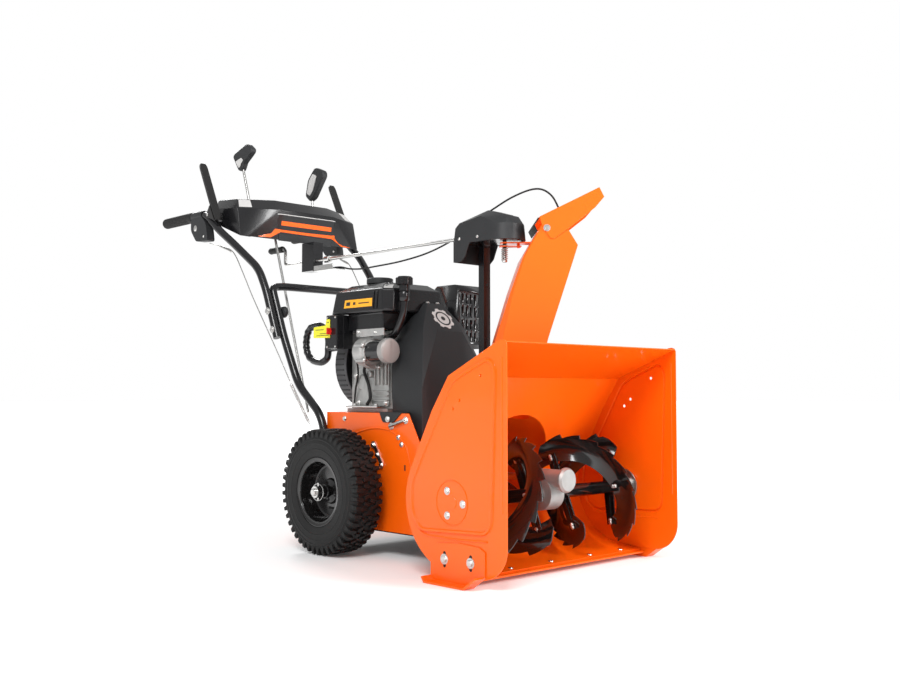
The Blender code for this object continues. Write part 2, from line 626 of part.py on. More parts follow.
def chute_drive():
    top = 0.8035
    post = add("chute_post", box(0.0085, 0.0330, -0.3175, -0.2980, 0.370, top + 0.001), BLACK_STEEL)
    fuse(post, box(-0.016, 0.058, -0.3175, -0.280, 0.3685, 0.3725),
         prism(stadium(0.043, -0.285, 0.043), "Z", top, top + 0.003),
         rod(0.0050, 0.749, top + 0.001, (0, CHUTE_Y, 0), "Z", 12))

    def shell(inset, low, drop):
        """Hull of the gear cover, shrunk by inset."""
        half = 0.0535 - inset
        points = [(x, y, low) for x, y in stadium(half, -0.268 - inset, half)]
        points += [(x, y, 0.844 - drop) for x, y in stadium(half, -0.275 - inset, half - 0.004)]
        points += mirrored([(half, -0.276 - inset, 0.842 - drop), (half, -0.290 - inset, 0.856 - drop),
                            (half, -0.365, 0.866 - drop), (0.020, -0.290 - inset, 0.868 - drop),
                            (0.020, -0.362, 0.885 - drop), (0.020, -0.430 + inset, 0.864 - drop)])
        return hull(points)

    flap = [(-0.268, 0.756), (-0.268, 0.812), (-0.340, 0.812), (-0.326, 0.803), (-0.311, 0.769),
            (-0.296, 0.756)]
    flap_inside = [(-0.2705, 0.750), (-0.2705, 0.8300), (-0.350, 0.8300), (-0.350, 0.750)]
    wall = SHEET
    cover = add("chute_gear_cover", shell(0, 0.803, 0), DARK_PLASTIC)
    fuse(cover, prism(flap, "X", -0.0535, 0.0535))
    cut(cover, shell(wall, 0.780, wall), prism(flap_inside, "X", wall - 0.0535, 0.0535 - wall),
        rod(0.0056, -0.29, -0.25, (0, 0, ROD_Z), "Y", 12))

    crank_y, crank_z = 0.565, 0.880
    path = rounded([(0, -0.335, ROD_Z), (0, crank_y, ROD_Z), (0, crank_y, crank_z), (0, 0.590, crank_z)],
                   0.012, 3)
    crank = add("chute_crank", sweep(path, 0.0050, 10), ZINC, (0, 0, ROD_Z), 40)
    fuse(crank, turn([(0, 0.580), (0.0095, 0.582), (0.0095, 0.648), (0.006, 0.651), (0, 0.651)],
                     12, (0, 0, crank_z), "Y"))

    bracket = add("crank_bracket", box(-0.014, 0.022, 0.395, 0.455, 0.795, 0.884), BLACK_STEEL)
    fuse(bracket, box(-0.012, 0.034, 0.300, 0.400, 0.795, 0.7985))
    cut(bracket, rod(0.0055, 0.28, 0.48, (0, 0, ROD_Z), "Y", 12))


# ---------------------------------------------------------------- engine
def engine():
    block = add("engine_block", box(-0.105, 0.075, -0.088, 0.085, 0.3765, 0.585), ALLOY)
    fuse(block, box(-0.120, 0.118, -0.085, 0.087, FRAME_TOP + GAP, 0.3775),
         box(0.070, 0.160, -0.025, 0.065, 0.470, 0.580),
         box(0.158, 0.192, -0.020, 0.060, 0.475, 0.575),
         sweep(rounded([(-0.098, -0.055, 0.565), (-0.120, -0.118, 0.574), (-0.114, -0.139, 0.620),
                        (-0.112, -0.142, 0.650), (-0.112, -0.142, 0.6865)], 0.03, 3), 0.0090, 8))
    for k in range(5):
        x = 0.082 + 0.016 * k
        cut(block, box(x, x + 0.009, -0.040, 0.080, 0.566, 0.60),
            box(x, x + 0.009, -0.040, 0.080, 0.46, 0.482))
    cut(block, rod(0.0130, -0.10, 0.10, (0, 0, CRANK_Z), "Y"))
    add("oil_cap", turn([(0, 0.6870), (0.015, 0.6870), (0.015, 0.702), (0.0225, 0.704), (0.0225, 0.722),
                         (0.019, 0.726), (0, 0.726)], 20, (-0.112, -0.142, 0), "Z"),
        DARK_PLASTIC, (-0.112, -0.142, 0), 40)

    shroud = [(0, 0.152), (0.098, 0.152), (0.125, 0.136), (0.125, 0.0885), (0.1225, 0.0885),
              (0.1225, 0.135), (0.097, 0.1495), (0, 0.1495)]
    blower = add("blower_housing", turn(shroud, 36, (0, 0, CRANK_Z + 0.008), "Y"), DARK_PLASTIC, smooth=35)
    cut(blower, rod(0.0050, 0.12, 0.17, (-0.085, 0, 0.545), "Y", 12))

    handle = recoil_handle()
    fuse(handle, rod(0.0045, 0.125, 0.223, (-0.085, 0, 0.545), "Y", 10))

    tank_low, tank_mid, tank_top = 0.634, 0.695, 0.7145
    points = [(-0.158, 0.112, tank_low), (-0.158, -0.108, tank_low), (-0.136, -0.125, tank_low),
              (0.036, -0.125, tank_low), (0.048, -0.110, tank_low), (0.048, 0.112, tank_low),
              (-0.156, 0.095, tank_mid), (-0.156, -0.105, tank_mid), (-0.132, -0.124, tank_mid),
              (0.036, -0.124, tank_mid), (0.046, 0.100, tank_mid),
              (-0.118, 0.075, tank_top), (-0.118, -0.070, tank_top), (-0.095, -0.090, tank_top),
              (0.020, -0.090, tank_top), (0.030, 0.075, tank_top)]
    tank = add("fuel_tank", hull(points), GLOSS_PLASTIC)
    fuse(tank, box(-0.140, 0.030, -0.088, 0.060, 0.5885, 0.640))
    cap_origin = (-0.060, 0.020, 0)
    add("fuel_cap", turn([(0, 0.7150), (0.030, 0.7150), (0.030, 0.7200), (0.0370, 0.7210), (0.0370, 0.7340),
                          (0.0340, 0.7370), (0, 0.7370)], 24, cap_origin, "Z"), DARK_PLASTIC, cap_origin, 40)

    add("control_box", box(-0.178, -0.120, 0.062, 0.110, 0.540, 0.6325), DARK_PLASTIC)
    key_origin = (-0.180, 0.087, 0.588)
    key = add("starter_key", rod(0.0035, -0.1795, -0.1783, (0, 0.087, 0.588), "X", 10), RED_PLASTIC,
              key_origin)
    fuse(key, box(-0.1925, -0.1790, 0.0850, 0.0890, 0.579, 0.597))

    starter_x, starter_z = -0.155, 0.529
    barrel = [(0, -0.020), (0.036, -0.020), (0.036, -0.050), (0.0275, -0.052), (0.0275, -0.122),
              (0.0305, -0.124), (0.0305, -0.136), (0.027, -0.140), (0, -0.140)]
    starter = add("electric_starter", turn(barrel, 24, (starter_x, 0, starter_z), "Y"),
                  DARK_PLASTIC, smooth=40)
    fuse(starter, box(-0.150, -0.1055, -0.048, -0.022, 0.510, 0.548))

    muffler = [(-0.108, 0.565), (-0.108, 0.690), (-0.096, 0.703), (-0.056, 0.703), (-0.045, 0.690),
               (-0.045, 0.565)]
    muffler = add("muffler", prism(muffler, "X", 0.117, 0.195), BLACK_STEEL)
    fuse(muffler, box(0.127, 0.155, -0.050, -0.0255, 0.568, 0.5795))
    guard = [(-0.030, 0.545), (-0.030, 0.715), (-0.040, 0.722), (-0.112, 0.722), (-0.127, 0.707),
             (-0.127, 0.545)]
    hollow = [(0.0, 0.50), (0.0, 0.7133), (-0.0408, 0.7204), (-0.1113, 0.7204), (-0.1254, 0.7063),
              (-0.1254, 0.50)]
    guard = add("muffler_guard", prism(guard, "X", 0.102, 0.212), BLACK_STEEL)
    cut(guard, prism(hollow, "X", 0.1036, 0.2104))
    for row in range(4):
        z = 0.562 + 0.036 * row
        for column in range(6):
            x = 0.113 + 0.0165 * column
            cut(guard, box(x, x + 0.006, -0.14, -0.12, z, z + 0.026))


def recoil_handle():
    """D-shaped pull handle, in a plane across X."""
    x = -0.085
    outer = [(0.223, 0.548), (0.208, 0.530), (0.223, 0.505), (0.258, 0.497), (0.307, 0.507), (0.336, 0.530),
             (0.345, 0.565), (0.333, 0.605), (0.308, 0.622), (0.269, 0.628), (0.230, 0.612), (0.208, 0.570)]
    inner = [(0.240, 0.535), (0.258, 0.520), (0.293, 0.525), (0.310, 0.548), (0.308, 0.580),
             (0.290, 0.602), (0.268, 0.606), (0.243, 0.592), (0.232, 0.562)]
    handle = add("recoil_handle", prism(outer, "X", x - 0.011, x + 0.011), GLOSS_PLASTIC, (x, 0.2, 0.545))
    return cut(handle, prism(inner, "X", x - 0.02, x + 0.02))


def belt_cover():
    bottom = FRAME_TOP + GAP
    outer = mirrored([(0.030, -0.1275, 0.661), (0.055, -0.1275, 0.628), (0.078, -0.0935, 0.592),
                      (0.099, -0.0935, 0.551), (0.113, -0.0935, 0.489), (0.113, -0.0935, 0.420),
                      (0.108, -0.0935, bottom), (0.026, -0.140, 0.661), (0.072, -0.175, 0.600),
                      (0.046, -0.200, 0.583), (0.130, -0.232, 0.430), (0.118, -0.106, bottom),
                      (0.152, -0.2585, 0.300)])
    inner = mirrored([(0.024, -0.131, 0.6575), (0.052, -0.126, 0.6245), (0.0750, -0.080, 0.5900),
                      (0.0960, -0.080, 0.549), (0.1100, -0.080, 0.489), (0.1100, -0.080, 0.420),
                      (0.1050, -0.080, 0.360), (0.024, -0.138, 0.6575), (0.0685, -0.1725, 0.5970),
                      (0.0440, -0.1965, 0.5815), (0.1265, -0.2285, 0.430), (0.149, -0.2555, 0.300),
                      (0.149, -0.2555, 0.230), (0.105, -0.080, 0.230)])
    cover = add("belt_cover", hull(outer), DARK_PLASTIC)
    cut(cover, hull(inner), box(-0.2, 0.2, -0.1040, 0.0, 0.20, bottom),
        box(-0.2, 0.2, -0.1268, 0.0, 0.6325, 0.70))


# ---------------------------------------------------------------- handles and controls
def lower_tube():
    return [(0.1770, 0.085, 0.215), (0.1770, 0.132, 0.358), (0.1790, 0.235, 0.440),
            (0.1830, 0.303, 0.577), (0.1872, 0.3605, 0.728), (0.150, 0.3605, 0.733)]


def handlebars():
    near = [(-x, y, z) for x, y, z in lower_tube()]
    far = lower_tube()[::-1]
    add("handle_lower", sweep(rounded(near + far, 0.035, 3), TUBE, 8), BLACK_STEEL, smooth=50)

    clear = 2 * TUBE + 0.0006
    lever = (0.600, 0.965)
    for tag, side in (("R", -1), ("L", 1)):
        upper = [(0.1830 + clear, 0.303, 0.577), (0.1868 + clear, 0.358, 0.7215), (0.2140, 0.392, 0.785),
                 (0.2400, 0.485, 0.864), (GRIP_X, 0.550, 0.910), (GRIP_X, 0.628, 0.969),
                 (GRIP_X, 0.866, 0.969)]
        path = rounded([(side * x, y, z) for x, y, z in upper], 0.030, 3)
        tube = add(f"handle_upper_{tag}", sweep(path, TUBE, 10), BLACK_STEEL, smooth=50)
        block = [(0.612, 0.940), (0.600, 0.884), (0.668, 0.888), (0.700, 0.925), (0.700, 0.966),
                 (0.640, 0.966)]
        lug = [(0.590, 0.935), (0.612, 0.950), (0.611, 0.972), (0.600, 0.977), (0.590, 0.972)]
        a, b = side * (GRIP_X - 0.0140), side * (GRIP_X + 0.0140)
        c, d = side * (GRIP_X - 0.004), side * (GRIP_X + 0.004)
        fuse(tube, prism(block, "X", a, b), prism(lug, "X", c, d))
        cut(tube, rod(0.0034, side * (GRIP_X - 0.02), side * (GRIP_X + 0.02), (0, *lever), "X", 10))

        sleeve = TUBE + GAP
        grip = [(0, 0.879), (0.0120, 0.879), (0.0165, 0.874), (0.0165, 0.712), (0.0150, 0.706),
                (sleeve, 0.706),
                (sleeve, 0.8665), (0, 0.8665)]
        add(f"grip_{tag}", turn(grip, 16, (side * GRIP_X, 0, 0.969), "Y"), RUBBER, smooth=40)

        name = "auger_lever" if side < 0 else "traction_lever"
        web = [(0.5615, 0.9410), (0.6600, 1.1310), (0.6573, 1.1324), (0.5588, 0.9424)]
        ear = [(0.5600, 0.9430), (0.5960, 0.9560), (0.6060, 0.9590), (0.6080, 0.9680), (0.6000, 0.9740),
               (0.5860, 0.9900)]
        obj = add(name, prism(web, "X", side * (GRIP_X - 0.0148), side * (GRIP_X + 0.0148)), BLACK_STEEL,
                  (side * GRIP_X, *lever))
        fuse(obj, prism(ear, "X", side * (GRIP_X - 0.0148), side * (GRIP_X - 0.0125)),
             prism(ear, "X", side * (GRIP_X + 0.0125), side * (GRIP_X + 0.0148)),
             rod(0.0030, side * (GRIP_X - 0.0140), side * (GRIP_X + 0.0140), (0, *lever), "X", 10))


def console():
    outer = mirrored([(0.100, 0.460, 0.885), (0.100, 0.444, 0.980), (0.100, 0.480, 1.013),
                      (0.224, 0.478, 0.891), (0.222, 0.498, 0.977), (0.205, 0.529, 1.011),
                      (0.100, 0.650, 1.032), (0.200, 0.640, 1.022), (0.224, 0.620, 0.990),
                      (0.100, 0.655, 0.950), (0.222, 0.625, 0.945)])
    inner = mirrored([(0.099, 0.463, 0.860), (0.099, 0.4475, 0.979), (0.099, 0.4815, 1.0095),
                      (0.2205, 0.4815, 0.860), (0.2185, 0.501, 0.976), (0.2025, 0.530, 1.0075),
                      (0.099, 0.647, 1.0285), (0.198, 0.637, 1.0185), (0.2205, 0.617, 0.989),
                      (0.099, 0.6515, 0.860), (0.2185, 0.6215, 0.860)])
    shell = add("console", hull(outer), DARK_PLASTIC)
    cut(shell, hull(inner), box(-0.142, -0.128, 0.535, 0.610, 0.98, 1.08),
        box(0.128, 0.142, 0.548, 0.628, 0.98, 1.08))

    speed_pivot = (-0.135, 0.545, 0.925)
    knob = [(0.606, 1.118), (0.619, 1.121), (0.651, 1.168), (0.645, 1.178), (0.571, 1.200), (0.545, 1.180),
            (0.547, 1.169), (0.567, 1.156), (0.591, 1.142), (0.597, 1.129)]
    lever = add("speed_lever", rod(0.010, -0.147, -0.123, (0, *speed_pivot[1:]), "X"), ZINC, speed_pivot)
    fuse(lever, sweep([speed_pivot, (-0.135, 0.573, 1.031), (-0.135, 0.607, 1.130)], 0.0040, 10),
         prism(knob, "X", -0.146, -0.124),
         prism([(0.550, 0.931), (0.490, 0.913), (0.488, 0.905), (0.550, 0.919)], "X", -0.147, -0.104))

    deflector_pivot = (0.135, 0.575, 0.925)
    knob = [(0.600, 1.060), (0.611, 1.057), (0.634, 1.076), (0.621, 1.129), (0.583, 1.167), (0.539, 1.149),
            (0.535, 1.131), (0.588, 1.066)]
    lever = add("deflector_lever", rod(0.010, 0.123, 0.147, (0, *deflector_pivot[1:]), "X"), ZINC,
                deflector_pivot)
    fuse(lever, sweep([deflector_pivot, (0.135, 0.6045, 1.036), (0.135, 0.610, 1.070)], 0.0040, 10),
         prism(knob, "X", 0.124, 0.146))

    add("shift_rod", sweep([(-0.096, 0.485, 0.903), (-0.150, 0.229, 0.364)], 0.0040, 8), ZINC)


def cable(name, route, radius):
    """A control cable: a tube along a smooth line through the route's own points."""
    dense = []
    points = [Vector(p) for p in route]
    for i in range(len(points) - 1):
        before, here = points[max(i - 1, 0)], points[i]
        there, after = points[i + 1], points[min(i + 2, len(points) - 1)]
        for k in range(2):
            t = k / 2
            dense.append(0.5 * ((2 * here) + (there - before) * t
                                + (2 * before - 5 * here + 4 * there - after) * t * t
                                + (3 * here - before - 3 * there + after) * t * t * t))
    dense.append(points[-1])
    curve = bpy.data.curves.new(name, "CURVE")
    curve.dimensions = "3D"
    curve.bevel_depth = radius
    curve.bevel_resolution = 2
    curve.use_fill_caps = True
    spline = curve.splines.new("POLY")
    spline.points.add(len(dense) - 1)
    for knot, point in zip(spline.points, dense):
        knot.co = (*point, 1.0)
    curve.materials.append(GLOSS_PLASTIC)
    obj = bpy.data.objects.new(name, curve)
    obj.parent = MACHINE
    bpy.context.scene.collection.objects.link(obj)


def cables():
    cable("deflector_cable", DEFLECTOR_ROUTE, 0.0025)
    for name, side in (("auger_cable", -1), ("traction_cable", 1)):
        route = [(0.240, 0.625, 0.8810), (0.230, 0.570, 0.866), (0.222, 0.517, 0.843), (0.220, 0.462, 0.771),
                 (0.217, 0.412, 0.695), (0.213, 0.300, 0.545), (0.210, 0.235, 0.453), (0.2095, 0.228, 0.443),
                 (0.206, 0.150, 0.340), (0.2055, 0.143, 0.330), (0.2050, 0.135, 0.305)]
        radii = [WIRE] * 7 + [SPRING] * 2 + [WIRE] * 2
        add(name, sweep([(side * x, y, z) for x, y, z in route], radii, 8), ZINC)


WIRE, SPRING = 0.0016, 0.0046
DEFLECTOR_ROUTE = [
    (0.020, 0.330, 0.8020), (0.020, 0.298, 0.8010), (0.020, 0.256, 0.789), (0.020, 0.200, 0.786),
    (0.020, 0.139, 0.789), (0.020, 0.027, 0.792), (0.018, -0.090, 0.803), (0.018, -0.190, 0.826),
    (0.018, -0.258, 0.860), (0.018, -0.300, 0.880), (0.020, -0.345, 0.892), (0.032, -0.395, 0.917),
    (0.050, -0.442, 0.936), (0.068, -0.468, 0.937), (0.084, -0.487, 0.918), (0.095, -0.498, 0.888)]


wheels()
drive_train()
belts_and_crank()
tractor_frame()
auger_housing()
skid_shoes()
augers()
gearbox_and_impeller()
chute()
chute_drive()
engine()
belt_cover()
handlebars()
console()
cables()
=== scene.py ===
"""Looks of a two-stage snow blower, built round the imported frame.

Shapes below are in metres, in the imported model's frame except that Y is measured from the
wheel axle; piece() shifts them. The machine faces -Y and its left side is +X.
"""
import json
import math

import bmesh
import bpy
from mathutils import Matrix, Vector


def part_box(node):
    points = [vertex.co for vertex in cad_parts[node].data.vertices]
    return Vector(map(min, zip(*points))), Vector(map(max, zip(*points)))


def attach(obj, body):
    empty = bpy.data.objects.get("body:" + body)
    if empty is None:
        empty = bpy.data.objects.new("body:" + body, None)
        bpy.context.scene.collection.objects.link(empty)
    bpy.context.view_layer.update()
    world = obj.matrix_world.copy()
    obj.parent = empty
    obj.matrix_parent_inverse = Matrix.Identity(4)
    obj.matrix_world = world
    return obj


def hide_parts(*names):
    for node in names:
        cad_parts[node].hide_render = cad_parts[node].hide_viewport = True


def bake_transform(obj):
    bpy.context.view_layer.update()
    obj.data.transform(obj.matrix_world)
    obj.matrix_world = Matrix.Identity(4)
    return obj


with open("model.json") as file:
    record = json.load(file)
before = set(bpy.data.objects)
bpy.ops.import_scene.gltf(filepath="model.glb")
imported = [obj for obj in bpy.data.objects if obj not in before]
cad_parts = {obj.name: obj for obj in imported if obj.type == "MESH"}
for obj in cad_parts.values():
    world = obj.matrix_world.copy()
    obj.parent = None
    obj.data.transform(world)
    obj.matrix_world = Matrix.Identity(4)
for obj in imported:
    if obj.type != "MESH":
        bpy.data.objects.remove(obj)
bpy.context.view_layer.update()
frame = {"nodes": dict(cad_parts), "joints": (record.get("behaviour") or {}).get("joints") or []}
PIVOT = {j["name"]: Vector(j["pos_m"]) for j in frame["joints"] if j.get("pos_m")}
AXLE_Y = PIVOT["wheel_spin"].y


# ---------------------------------------------------------------- materials
def link_noise(tree, coords, scale, detail=3.0, stretch=None):
    """A noise texture in the object's own space; stretch squeezes it along one axis."""
    if stretch:
        mapping = tree.nodes.new("ShaderNodeMapping")
        mapping.inputs["Scale"].default_value = stretch
        tree.links.new(coords.outputs["Object"], mapping.inputs["Vector"])
    noise = tree.nodes.new("ShaderNodeTexNoise")
    noise.inputs["Scale"].default_value = scale
    noise.inputs["Detail"].default_value = detail
    source = mapping.outputs["Vector"] if stretch else coords.outputs["Object"]
    tree.links.new(source, noise.inputs["Vector"])
    return noise


def surface(name, dark, light, rough, mottle, grain, metallic=0.0, coat=0.0, stretch=None, gloss=0.5):
    """dark and light: colours it varies between; rough: (low, high); mottle: scale of both;
    grain: (scale, bump strength, depth in metres)."""
    mat = bpy.data.materials.new(name)
    mat.use_nodes = True
    tree = mat.node_tree
    shader = tree.nodes["Principled BSDF"]
    shader.inputs["Metallic"].default_value = metallic
    shader.inputs["Coat Weight"].default_value = coat
    shader.inputs["Coat Roughness"].default_value = 0.06
    shader.inputs["Specular IOR Level"].default_value = gloss
    coords = tree.nodes.new("ShaderNodeTexCoord")
    cloud = link_noise(tree, coords, mottle)
    blend = tree.nodes.new("ShaderNodeMix")
    blend.data_type = "RGBA"
    blend.inputs["A"].default_value = (*dark, 1.0)
    blend.inputs["B"].default_value = (*light, 1.0)
    tree.links.new(cloud.outputs["Fac"], blend.inputs["Factor"])
    tree.links.new(blend.outputs["Result"], shader.inputs["Base Color"])
    fine = link_noise(tree, coords, grain[0], 4.0, stretch)
    spread = tree.nodes.new("ShaderNodeMapRange")
    spread.inputs["From Min"].default_value = 0.3
    spread.inputs["From Max"].default_value = 0.7
    spread.inputs["To Min"].default_value = rough[0]
    spread.inputs["To Max"].default_value = rough[1]
    tree.links.new(fine.outputs["Fac"], spread.inputs["Value"])
    tree.links.new(spread.outputs["Result"], shader.inputs["Roughness"])
    bump = tree.nodes.new("ShaderNodeBump")
    bump.inputs["Strength"].default_value = grain[1]
    bump.inputs["Distance"].default_value = grain[2]
    tree.links.new(fine.outputs["Fac"], bump.inputs["Height"])
    tree.links.new(bump.outputs["Normal"], shader.inputs["Normal"])
    return mat


ORANGE = surface("powder_orange", (0.93, 0.118, 0.0015), (0.97, 0.13, 0.002), (0.28, 0.38), 9,
                 (900, 0.06, 0.0004), coat=0.28, gloss=0.25)
BLACK = surface("black_enamel", (0.005, 0.005, 0.006), (0.009, 0.009, 0.01), (0.16, 0.26), 14,
                (700, 0.06, 0.0004), coat=0.2, gloss=0.4)
GLOSS = surface("black_gloss_plastic", (0.006, 0.006, 0.007), (0.01, 0.01, 0.011), (0.16, 0.26), 12,
                (1400, 0.05, 0.0003), coat=0.15, gloss=0.4)
AUGER = surface("auger_enamel", (0.005, 0.005, 0.005), (0.008, 0.007, 0.007), (0.09, 0.18), 14,
                (700, 0.05, 0.0004), coat=0.3, gloss=0.45)
SATIN = surface("dark_satin_plastic", (0.017, 0.018, 0.019), (0.024, 0.025, 0.027), (0.42, 0.56), 12,
                (2600, 0.22, 0.0004), gloss=0.35)
ZINC = surface("zinc_plate", (0.52, 0.52, 0.51), (0.72, 0.71, 0.69), (0.22, 0.38), 60,
               (900, 0.12, 0.0003), metallic=1.0)
BARE = surface("drawn_steel", (0.5, 0.5, 0.49), (0.66, 0.65, 0.63), (0.2, 0.34), 40,
               (300, 0.1, 0.0002), metallic=1.0, stretch=(1.0, 0.05, 1.0))
CAST = surface("cast_aluminium", (0.34, 0.34, 0.33), (0.5, 0.5, 0.49), (0.4, 0.58), 45,
               (1100, 0.55, 0.0006), metallic=0.75)
GREY = surface("light_grey_cap", (0.27, 0.26, 0.25), (0.33, 0.32, 0.31), (0.35, 0.5), 20,
               (1200, 0.15, 0.0003), metallic=0.2)
# Black rubber, also used for the dark plates that stand for painted shade in slots and holes.
RUBBER_AND_SHADE = surface("black_rubber_and_shade", (0.011, 0.011, 0.011), (0.019, 0.019, 0.019), (0.55, 0.75), 18,
                 (1500, 0.3, 0.0004), gloss=0.3)
TREAD = surface("tyre_rubber", (0.006, 0.006, 0.006), (0.012, 0.012, 0.012), (0.46, 0.66), 22,
                (800, 0.35, 0.0005), gloss=0.3)
RED = surface("red_plastic", (0.6, 0.012, 0.008), (0.72, 0.02, 0.012), (0.25, 0.35), 30,
              (1200, 0.1, 0.0003), coat=0.3)
YELLOW = surface("yellow_tag", (0.7, 0.66, 0.02), (0.8, 0.76, 0.03), (0.35, 0.45), 25,
                 (1200, 0.08, 0.0002))
AMBER = surface("amber_label", (0.86, 0.36, 0.01), (0.92, 0.42, 0.015), (0.35, 0.45), 25,
                (1200, 0.08, 0.0002))
# Pale print, also used for the plates that stand for painted highlights on the gloss tank and console.
PALE = surface("pale_print_and_highlight", (0.52, 0.51, 0.5), (0.6, 0.59, 0.58), (0.35, 0.48), 25,
               (1200, 0.08, 0.0002))


# ---------------------------------------------------------------- shapes
AXES = {"X": Vector((1, 0, 0)), "Y": Vector((0, 1, 0)), "Z": Vector((0, 0, 1))}


def prism(outline, axis, low, high):
    """Extrude a flat outline: X takes (y, z), Y takes (x, z), Z takes (x, y)."""
    bm = bmesh.new()
    rows = []
    for along in (low, high):
        row = []
        for pair in outline:
            values = list(pair)
            values.insert("XYZ".index(axis), along)
            row.append(bm.verts.new(values))
        rows.append(row)
        bm.faces.new(row)
    for i in range(len(outline)):
        j = (i + 1) % len(outline)
        bm.faces.new((rows[0][i], rows[0][j], rows[1][j], rows[1][i]))
    return bm


def box(x0, x1, y0, y1, z0, z1):
    return prism([(x0, y0), (x1, y0), (x1, y1), (x0, y1)], "Z", z0, z1)


def loft(rows):
    """A closed skin through rows of points; every row has the same count."""
    bm = bmesh.new()
    made = [[bm.verts.new(point) for point in row] for row in rows]
    for first, second in zip(made, made[1:]):
        for k in range(len(first)):
            n = (k + 1) % len(first)
            bm.faces.new((first[k], first[n], second[n], second[k]))
    bm.faces.new(made[0])
    bm.faces.new(made[-1])
    return bm


def patch(corners, u, v, lift=0.0006):
    """A thin plate on a four-cornered facet; u and v are the spans it covers of each side."""
    a, b, c, d = (Vector(p) for p in corners)
    normal = (b - a).cross(d - a).normalized() * lift
    flat = []
    for s, t in ((u[0], v[0]), (u[1], v[0]), (u[1], v[1]), (u[0], v[1])):
        flat.append(a.lerp(b, s).lerp(d.lerp(c, s), t))
    return loft([[p - normal for p in flat], [p + normal for p in flat]])


def hull(points):
    bm = bmesh.new()
    for point in points:
        bm.verts.new(point)
    made = bmesh.ops.convex_hull(bm, input=bm.verts)
    spare = {g for g in made["geom_unused"] + made["geom_interior"] if isinstance(g, bmesh.types.BMVert)}
    bmesh.ops.delete(bm, geom=list(spare), context="VERTS")
    bmesh.ops.dissolve_limit(bm, angle_limit=0.02, verts=bm.verts, edges=bm.edges)
    return bm


def turn(profile, segments, origin=(0, 0, 0), axis="Z"):
    """Revolve (radius, along) pairs; a profile that starts and ends on the axis is solid."""
    bm = bmesh.new()
    rings = []
    for radius, along in profile:
        count = 1 if radius < 1e-7 else segments
        ring = []
        for k in range(count):
            angle = math.tau * k / segments
            ring.append(bm.verts.new((radius * math.cos(angle), radius * math.sin(angle), along)))
        rings.append(ring)
    solid = len(rings[0]) == 1
    for i in range(len(rings) - 1 if solid else len(rings)):
        first, second = rings[i], rings[(i + 1) % len(rings)]
        for k in range(segments):
            n = (k + 1) % segments
            face = (first[k % len(first)], first[n % len(first)],
                    second[n % len(second)], second[k % len(second)])
            bm.faces.new(list(dict.fromkeys(face)))
    aim = AXES[axis].to_track_quat("Z", "Y") if axis != "Z" else Matrix.Identity(3).to_quaternion()
    bmesh.ops.transform(bm, matrix=aim.to_matrix().to_4x4(), verts=bm.verts)
    bmesh.ops.translate(bm, verts=bm.verts, vec=Vector(origin))
    return bm


def rod(radius, low, high, origin, axis, segments=24, edge=0.0):
    profile = [(0, low), (radius - edge, low), (radius, low + edge), (radius, high - edge),
               (radius - edge, high), (0, high)]
    return turn(list(dict.fromkeys(profile)), segments, origin, axis)


def rounded(points, radius, steps=8):
    """A polyline with its corners replaced by short curves."""
    points = [Vector(p) for p in points]
    path = [points[0]]
    for before, corner, after in zip(points, points[1:], points[2:]):
        reach = min(radius, (before - corner).length * 0.48, (after - corner).length * 0.48)
        start = corner + (before - corner).normalized() * reach
        end = corner + (after - corner).normalized() * reach
        for k in range(steps + 1):
            t = k / steps
            path.append(start.lerp(corner, t).lerp(corner.lerp(end, t), t))
    path.append(points[-1])
    return path


def soften(loop, radius, steps=5):
    """A closed flat outline with rounded corners."""
    loop = [Vector(p) for p in loop]
    out = []
    for i, corner in enumerate(loop):
        before, after = loop[i - 1], loop[(i + 1) % len(loop)]
        reach = min(radius, (before - corner).length * 0.45, (after - corner).length * 0.45)
        start = corner + (before - corner).normalized() * reach
        end = corner + (after - corner).normalized() * reach
        for k in range(steps + 1):
            t = k / steps
            out.append(tuple(start.lerp(corner, t).lerp(corner.lerp(end, t), t)))
    return out


def smooth_line(route, steps=6):
    """A curve through every point of a route."""
    points = [Vector(p) for p in route]
    line = []
    for i in range(len(points) - 1):
        a, b = points[max(i - 1, 0)], points[i]
        c, d = points[i + 1], points[min(i + 2, len(points) - 1)]
        for k in range(steps):
            t = k / steps
            line.append(0.5 * ((2 * b) + (c - a) * t + (2 * a - 5 * b + 4 * c - d) * t * t
                               + (3 * b - a - 3 * c + d) * t * t * t))
    line.append(points[-1])
    return line


def sweep(path, radius, sides=20):
    """A round bar along a path; radius is one number or one for each point."""
    path = [Vector(p) for p in path]
    radii = radius if isinstance(radius, list) else [radius] * len(path)
    bm = bmesh.new()
    side = Vector((1, 0, 0))
    rings = []
    for i, point in enumerate(path):
        ahead = path[min(i + 1, len(path) - 1)] - point
        behind = point - path[max(i - 1, 0)]
        direction = (ahead.normalized() + behind.normalized()).normalized()
        if abs(side.dot(direction)) > 0.95:
            side = Vector((0, 1, 0)) if abs(direction.y) < 0.9 else Vector((0, 0, 1))
        side = (side - direction * side.dot(direction)).normalized()
        other = direction.cross(side)
        ring = []
        for k in range(sides):
            angle = math.tau * k / sides
            ring.append(bm.verts.new(point + (side * math.cos(angle) + other * math.sin(angle)) * radii[i]))
        rings.append(ring)
    for first, second in zip(rings, rings[1:]):
        for k in range(sides):
            n = (k + 1) % sides
            bm.faces.new((first[k], first[n], second[n], second[k]))
    bm.faces.new(rings[0])
    bm.faces.new(rings[-1])
    return bm


def spring(start, end, coil, wire, turns, sides=7):
    """A coil spring between two points."""
    start, end = Vector(start), Vector(end)
    along = (end - start).normalized()
    side = along.cross(Vector((1, 0, 0)) if abs(along.x) < 0.9 else Vector((0, 1, 0))).normalized()
    other = along.cross(side)
    path = []
    steps = turns * 14
    for k in range(steps + 1):
        angle = math.tau * k / 14
        path.append(start.lerp(end, k / steps) + (side * math.cos(angle) + other * math.sin(angle)) * coil)
    return sweep(path, wire, sides)


